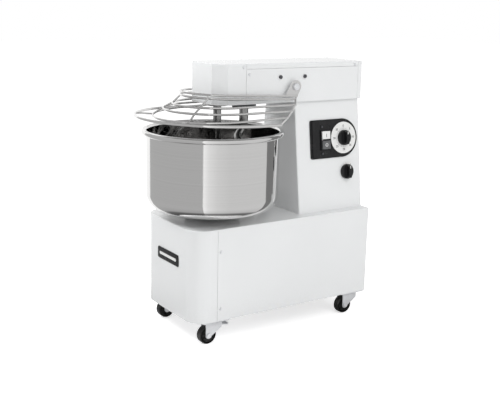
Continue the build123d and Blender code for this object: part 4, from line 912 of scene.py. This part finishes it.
def makeGuard():
    middle, steps = guardMaking["middle"], guardMaking["arcSteps"]
    wires, beads = [], []
    sideRods, ribs = {-1: [], 1: []}, {-1: [], 1: []}
    for radius, height, legEnd, thickness, rise, ribAngle in guardMaking["rings"]:
        def point(x, y):
            return Vector((x, y, height + rise * (y - middle)))

        arc = [math.pi * step / steps for step in range(steps + 1)]
        run = [point(radius * math.cos(angle), middle - radius * math.sin(angle)) for angle in arc]
        wires.append(([point(radius, legEnd), *run, point(-radius, legEnd)], thickness / 2))
        lean = math.radians(ribAngle)
        for side in (-1, 1):
            sideRods[side].append(point(side * radius, legEnd - guardMaking["legWeld"]))
            ribs[side].append(point(side * radius * math.sin(lean), middle - radius * math.cos(lean)))
    for side in (-1, 1):
        for run in (sideRods[side], ribs[side]):
            wires.append((run, guardMaking["ribThickness"] / 2))
            for before, here in zip([run[0]] + run, run):
                beads.append((here, (0, 0, 1), (here - before).normalized() if here != before else (1, 0, 0)))
    shape = bmesh.new()
    bmesh.ops.create_icosphere(shape, subdivisions=2, radius=1.0)
    bmesh.ops.scale(shape, vec=guardMaking["bead"], verts=shape.verts)
    blob = closeShape(shape, "bead", 180)
    meshes = [
        bendWires("guardWires", wires, "polished_steel"),
        seat("weldBeads", beads, blob, "polished_steel", spin=0.6, seed=11), pivotEar(-1), pivotEar(1),
    ]
    stand(addObject("guard.cage", joined("guardCage", meshes)), "guard_cage")
    return len(beads)


def pivotEar(side):
    pivot = Vector(guardMaking["earPivot"])
    outline = [Vector(point) for point in arcPoints((0, 0), guardMaking["earRadius"], *guardMaking["earArc"])]
    outline += [Vector(foot) - pivot for foot in guardMaking["earFoot"]]
    hole = [point.normalized() * guardMaking["earHole"] for point in outline]
    near, far = (side * face for face in guardMaking["earFaces"])
    shape = bmesh.new()
    rings = [
        [shape.verts.new((x, *(pivot + point))) for point in loop]
        for x, loop in ((near, outline), (near, hole), (far, hole), (far, outline))
    ]
    band(shape, *rings, rings[0])
    return closeShape(shape, "pivotEar", 30, "polished_steel", outward=True)


print("guard welds:", makeGuard())

# controls: numbers and ticks on the dial, signs on the buttons, marks on the knobs, bar on the badge

controlMaking = {
    "crossBar": (0.0272, 0.0044, 0.0006),  # between the buttons: width, height, thickness
    "crossBarAt": (0, 0.0012, 0.0004),
    "columnFoot": (0.107, 0.315),  # half width of the column and its height there
    "lean": 38 / 310,
    "timer": (0.2565, 0.516),  # along Y, height
    "dialLift": 0.004,
    "numbers": ("0", "5", "10", "15", "20", "25", "30", "35"),
    "numberRadius": 0.0335, "numberSize": 0.0086, "numberWeight": 0.00012,
    "ticks": 40, "longTickEvery": 5, "tickRadii": (0.0252, 0.0282),
    "tickWidths": (0.0009, 0.0006),  # long, short
    "shortTick": 0.55,  # share of the long one
    "switch": (0.1908, 0.513),
    "buttonLift": 0.010, "buttonPitch": 0.0264, "signHeight": 0.0095, "signStroke": 0.0015,
    "speed": (0.265, 0.419),
    "labelLift": 0.001,
    "labelMarks": (("1", 0.0, 0.0245), ("2", 0.0165, 0.0185)),
    "labelSize": 0.0052, "ink": 0.00012,
}
knobMaking = {  # foot above the column, skirt radius, height
    "timer": (0.0043, 0.022, 0.021),
    "speed": (0.0013, 0.0215, 0.020),
    "pointer": (0.0022, 0.0085, 0.00015, 0.001),  # width, length, thickness, rounding
}
badgeMaking = {"shares": (0.80, 0.24, 0.11), "thickness": 0.0003}  # width, height and rounding
finishes["print"] = newMaterial("darkPrint", "moulded", (0.02, 0.02, 0.022), {
    "Scale": 900, "Depth": 0.05, "Gloss": 0.35, "Rub": 0.05,
})
finishes["palePrint"] = newMaterial("palePrint", "moulded", (0.78, 0.78, 0.77), {
    "Scale": 900, "Depth": 0.05, "Gloss": 0.3, "Rub": 0.03,
})


def sideFrame(along, height, lift):
    # on the column's right side: x to the rear, y up the slope, z outward
    lean = math.atan(controlMaking["lean"])
    foot, low = controlMaking["columnFoot"]
    out = Vector((math.cos(lean), 0, math.sin(lean)))
    place = Vector((foot - (height - low) * controlMaking["lean"], along, height)) + out * lift
    turn = Matrix(((0, 1, 0), (-out.z, 0, out.x), tuple(out))).transposed().to_4x4()
    return Matrix.Translation(place) @ turn


def written(word, size, ink, weight=0.0):
    # a generic number or sign as a thin plate, centred on the origin
    line = setAll(
        bpy.data.curves.new("written", "FONT"), body=word, size=size, align_x="CENTER", align_y="CENTER",
        resolution_u=3, extrude=ink / 2, offset=weight,
    )
    holder = addObject("written", line)
    mesh = bpy.data.meshes.new_from_object(holder.evaluated_get(bpy.context.evaluated_depsgraph_get()))
    bpy.data.objects.remove(holder)
    return mesh


def printOn(name, meshes, finish, node):
    attach(addObject(name, joined(name, [recoated(mesh, finish) for mesh in meshes])), node)


def makeDialPrint():
    facePlane = sideFrame(*controlMaking["timer"], controlMaking["dialLift"])
    ink, size, weight, radius = pick(controlMaking, "ink", "numberSize", "numberWeight", "numberRadius")
    words, ticks, every = pick(controlMaking, "numbers", "ticks", "longTickEvery")
    inner, outer = controlMaking["tickRadii"]
    meshes = []
    for word, (up, across) in zip(words, circle((0, 0), radius, len(words))):
        move = Matrix.Translation((across, up, ink / 2))
        meshes.append(placed(written(word, size, ink, weight), move, facePlane))
    for index in range(ticks):
        short = index % every > 0
        reach = (outer - inner) * (controlMaking["shortTick"] if short else 1)
        tick = bar(controlMaking["tickWidths"][short], reach, ink)
        turn = Matrix.Rotation(-2 * math.pi * index / ticks, 4, "Z")
        meshes.append(placed(tick, turn @ Matrix.Translation((0, inner + reach / 2, 0)), facePlane))
    printOn("dial.print", meshes, "print", "dial_ring")


def makeSigns():
    ink, size, stroke, letter = pick(controlMaking, "ink", "signHeight", "signStroke", "labelSize")
    middle = sideFrame(*controlMaking["switch"], controlMaking["buttonLift"])
    shift = controlMaking["buttonPitch"] / 2
    outer, inner = size / 2, size / 2 - stroke
    ring = turned("ringPlate", ((inner, 0), (outer, 0), (outer, ink), (inner, ink)), 48)
    cross = bar(*controlMaking["crossBar"])
    for name, mesh, place, finish, node in (
        ("switch.bar", cross, controlMaking["crossBarAt"], "black_plastic", "switch_frame"),
        ("start.sign", bar(stroke, size, ink), (0, shift, 0), "print", "start_button"),
        ("stop.sign", ring, (0, -shift, 0), "palePrint", "stop_button"),
    ):
        printOn(name, [placed(mesh, middle @ Matrix.Translation(place))], finish, node)
    labelPlane = sideFrame(*controlMaking["speed"], controlMaking["labelLift"])
    marks = [
        placed(written(word, letter, ink), Matrix.Translation((across, up, ink / 2)), labelPlane)
        for word, across, up in controlMaking["labelMarks"]
    ]
    printOn("label.print", marks, "print", "speed_label")


def makeKnobMarks():
    for name in ("timer", "speed"):
        (lift, radius, height), pointer = pick(knobMaking, name, "pointer")
        top = sideFrame(*controlMaking[name], lift + height)
        move = Matrix.Translation((0, radius - pointer[1], 0))
        printOn(name + ".pointer", [placed(bar(*pointer), move, top)], "palePrint", name + "_knob")


def makeBadgeBar():
    # a plain pale bar instead of any name
    low, high, middle = boxOf("badge_plate")
    width, height = high.x - low.x, high.z - low.z
    (wide, tall, rounding), thickness = pick(badgeMaking, "shares", "thickness")
    plate = bar(wide * width, tall * height, thickness, rounding * height)
    front = Matrix.Translation((middle.x, low.y, middle.z)) @ Matrix.Rotation(math.pi / 2, 4, "X")
    printOn("badge.bar", [placed(plate, front)], "palePrint", "badge_plate")


makeDialPrint()
makeSigns()
makeKnobMarks()
makeBadgeBar()
print("controls")

# casters: tyre on a ribbed hub, axle nuts and a worn tread

casterMaking = {
    "hub": 0.018, "boss": 0.009, "recess": 0.0025, "tyreRound": 0.003, "bore": 0.00405,
    "groove": ((0, -0.0042), (0.0007, -0.0038), (0.0007, -0.0032), (0, -0.0028)),  # depth, place across
    "steps": 96, "spokes": 8, "spokeWidth": 0.0022, "edge": 0.0006,
    "nutAcross": 0.0125, "nutHeight": 0.0019,
}
sideways = Matrix(((0, 0, 1), (1, 0, 0), (0, 1, 0))).to_4x4()  # stands the upright axis along X


def makeWheel(node):
    low, high, middle = boxOf(node)
    half, radius = (high.x - low.x) / 2, (high.z - low.z) / 2
    hub, boss, bore, recess = pick(casterMaking, "hub", "boss", "bore", "recess")
    curve, edge, spokes = pick(casterMaking, "tyreRound", "edge", "spokes")
    floor = recess - half
    tyre = [
        (bore, -half), (boss - edge, -half), (boss, -half + edge), (boss, floor), (hub - 0.0008, floor),
        (hub, floor - 0.0008), (hub, -half + 0.0005), (hub + edge, -half),
    ]
    tyre += arcPoints((radius - curve, -half + curve), curve, -90, 0, 6)
    tyre += [(radius - depth, x) for depth, x in casterMaking["groove"]]
    profile = tyre + [(reach, -x) for reach, x in reversed(tyre)]
    tread = turned("wheel", profile, casterMaking["steps"], 35, "wheel_rubber")
    rib = bar(hub - boss + edge, casterMaking["spokeWidth"], recess - edge, 0.0004)
    ribs = []
    for face in (-1, 1):
        for point in circle((0, 0), 1, spokes):
            way = Vector((0, *point))
            foot = middle + Vector((-face * floor, 0, 0)) + way * (hub + boss) / 2
            ribs.append((foot, (face, 0, 0), way))
    wheel = placed(tread, sideways, Matrix.Translation(middle))
    whole = joined(node, [wheel, seat(node + "Ribs", ribs, rib, "wheel_rubber")])
    stand(addObject(node.replace("caster_wheel_", "wheel."), whole), node)


def makeAxleNuts(node, wheel):
    middle, height = boxOf(wheel)[2], casterMaking["nutHeight"]
    ends = zip((-1, 1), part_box(node))
    seats = [((end.x - side * height, middle.y, middle.z), (side, 0, 0)) for side, end in ends]
    shape = hexHead(casterMaking["nutAcross"], height, casterMaking["edge"])
    mesh = seat(node + "Nuts", seats, shape, "zinc", spin=1.0, seed=len(node))
    attach(addObject("nuts." + node.replace("caster_fork_", ""), mesh), node)


for node in cad:
    if node.startswith("caster_wheel_"):
        makeWheel(node)
        makeAxleNuts(node.replace("wheel", "fork"), node)
print("casters")

# chains, link by link, round the pitch circles of their sprockets

chainMaking = {
    "pitch": 0.0127,
    "links": ((0.0041, 0.00425, 0.0082), (0.0053, 0.0018, 0.0137)),  # plates apart, bar's radius and length
    "plate": 0.0046,
    "plateThickness": 0.0012,
    "toothRoom": 0.0085,  # beyond the pitch circle, where links stay open for the teeth to turn past
    "arcSteps": 360,
    "bowl_chain": {"ends": (-0.126, 0.168), "teeth": (56, 12), "height": 0.185},
    "spiral_chain": {"ends": (-0.029, 0.168), "teeth": (12, 20), "height": 0.690},
}


def chainLine(ends, radii, count):
    # evenly spaced pins along the two straight runs and the two arcs of an open belt
    tilt = math.asin((radii[0] - radii[1]) / (ends[1] - ends[0]))
    steps = chainMaking["arcSteps"]
    line = []
    for end, radius, start, sweep in (
        (ends[0], radii[0], math.pi / 2 - tilt, math.pi + 2 * tilt),
        (ends[1], radii[1], tilt - math.pi / 2, math.pi - 2 * tilt),
    ):
        for step in range(steps + 1):
            angle = start + sweep * step / steps
            line.append(Vector((radius * math.sin(angle), end + radius * math.cos(angle))))
    line.append(line[0])
    runs = [(second - first).length for first, second in zip(line, line[1:])]
    marks = np.concatenate(([0], np.cumsum(runs)))
    wanted = np.linspace(0, marks[-1], count, endpoint=False)
    across, along = (np.interp(wanted, marks, [point[axis] for point in line]) for axis in (0, 1))
    return [Vector(pin) for pin in zip(across, along)]


def linkPiece(spread, roller, length, gap=0.0):
    # two plates, and rollers or pins of that length at their ends, broken by the gap
    pitch, plate, thickness = pick(chainMaking, "pitch", "plate", "plateThickness")
    shape = bmesh.new()
    outline = arcPoints((pitch / 2, 0), plate, -60, 60, 4)
    outline += arcPoints((-pitch / 2, 0), plate, 120, 240, 4)
    for foot in (spread, -spread - thickness):
        prism(shape, outline, foot, foot + thickness)
    stub = (length - gap) / 2
    for end in (-pitch / 2, pitch / 2):
        for side in (-1, 1) if stub else ():
            bmesh.ops.create_cone(
                shape, cap_ends=True, segments=10, radius1=roller, radius2=roller, depth=stub,
                matrix=Matrix.Translation((end, 0, side * (gap + stub) / 2)),
            )
    return closeShape(shape, "link", 40)


def makeChain(node):
    pitch = chainMaking["pitch"]
    ends, teeth, height = pick(chainMaking[node], "ends", "teeth", "height")
    radii = [pitch / 2 / math.sin(math.pi / count) for count in teeth]
    span = ends[1] - ends[0]
    pitches = 2 * span / pitch + sum(teeth) / 2 + ((teeth[0] - teeth[1]) / 2 / math.pi) ** 2 * pitch / span
    count = 2 * round(pitches / 2)
    pins = chainLine(ends, radii, count)
    wheels = [(Vector((0, end)), radius + chainMaking["toothRoom"]) for end, radius in zip(ends, radii)]
    between = chainMaking["links"][0][2]
    meshes = []
    for parity, (spread, roller, length) in enumerate(chainMaking["links"]):
        seats = {0.0: [], between: []}
        for index in range(parity, count, 2):
            first, second = pins[index], pins[(index + 1) % count]
            middle, way = (first + second) / 2, (second - first).normalized()
            onWheel = any((pin - hub).length < room for pin in (first, second) for hub, room in wheels)
            seats[between if onWheel else 0.0].append(((*middle, height), (0, 0, 1), (*way, 0)))
        for gap, places in seats.items():
            link = linkPiece(spread, roller, length, gap)
            meshes.append(seat(f"{node}{parity}{gap > 0}", places, link, "bearing_steel"))
    stand(addObject(node.replace("_chain", ".chain"), joined(node, meshes)), node)
    return count


print("chain links:", makeChain("bowl_chain"), makeChain("spiral_chain"))
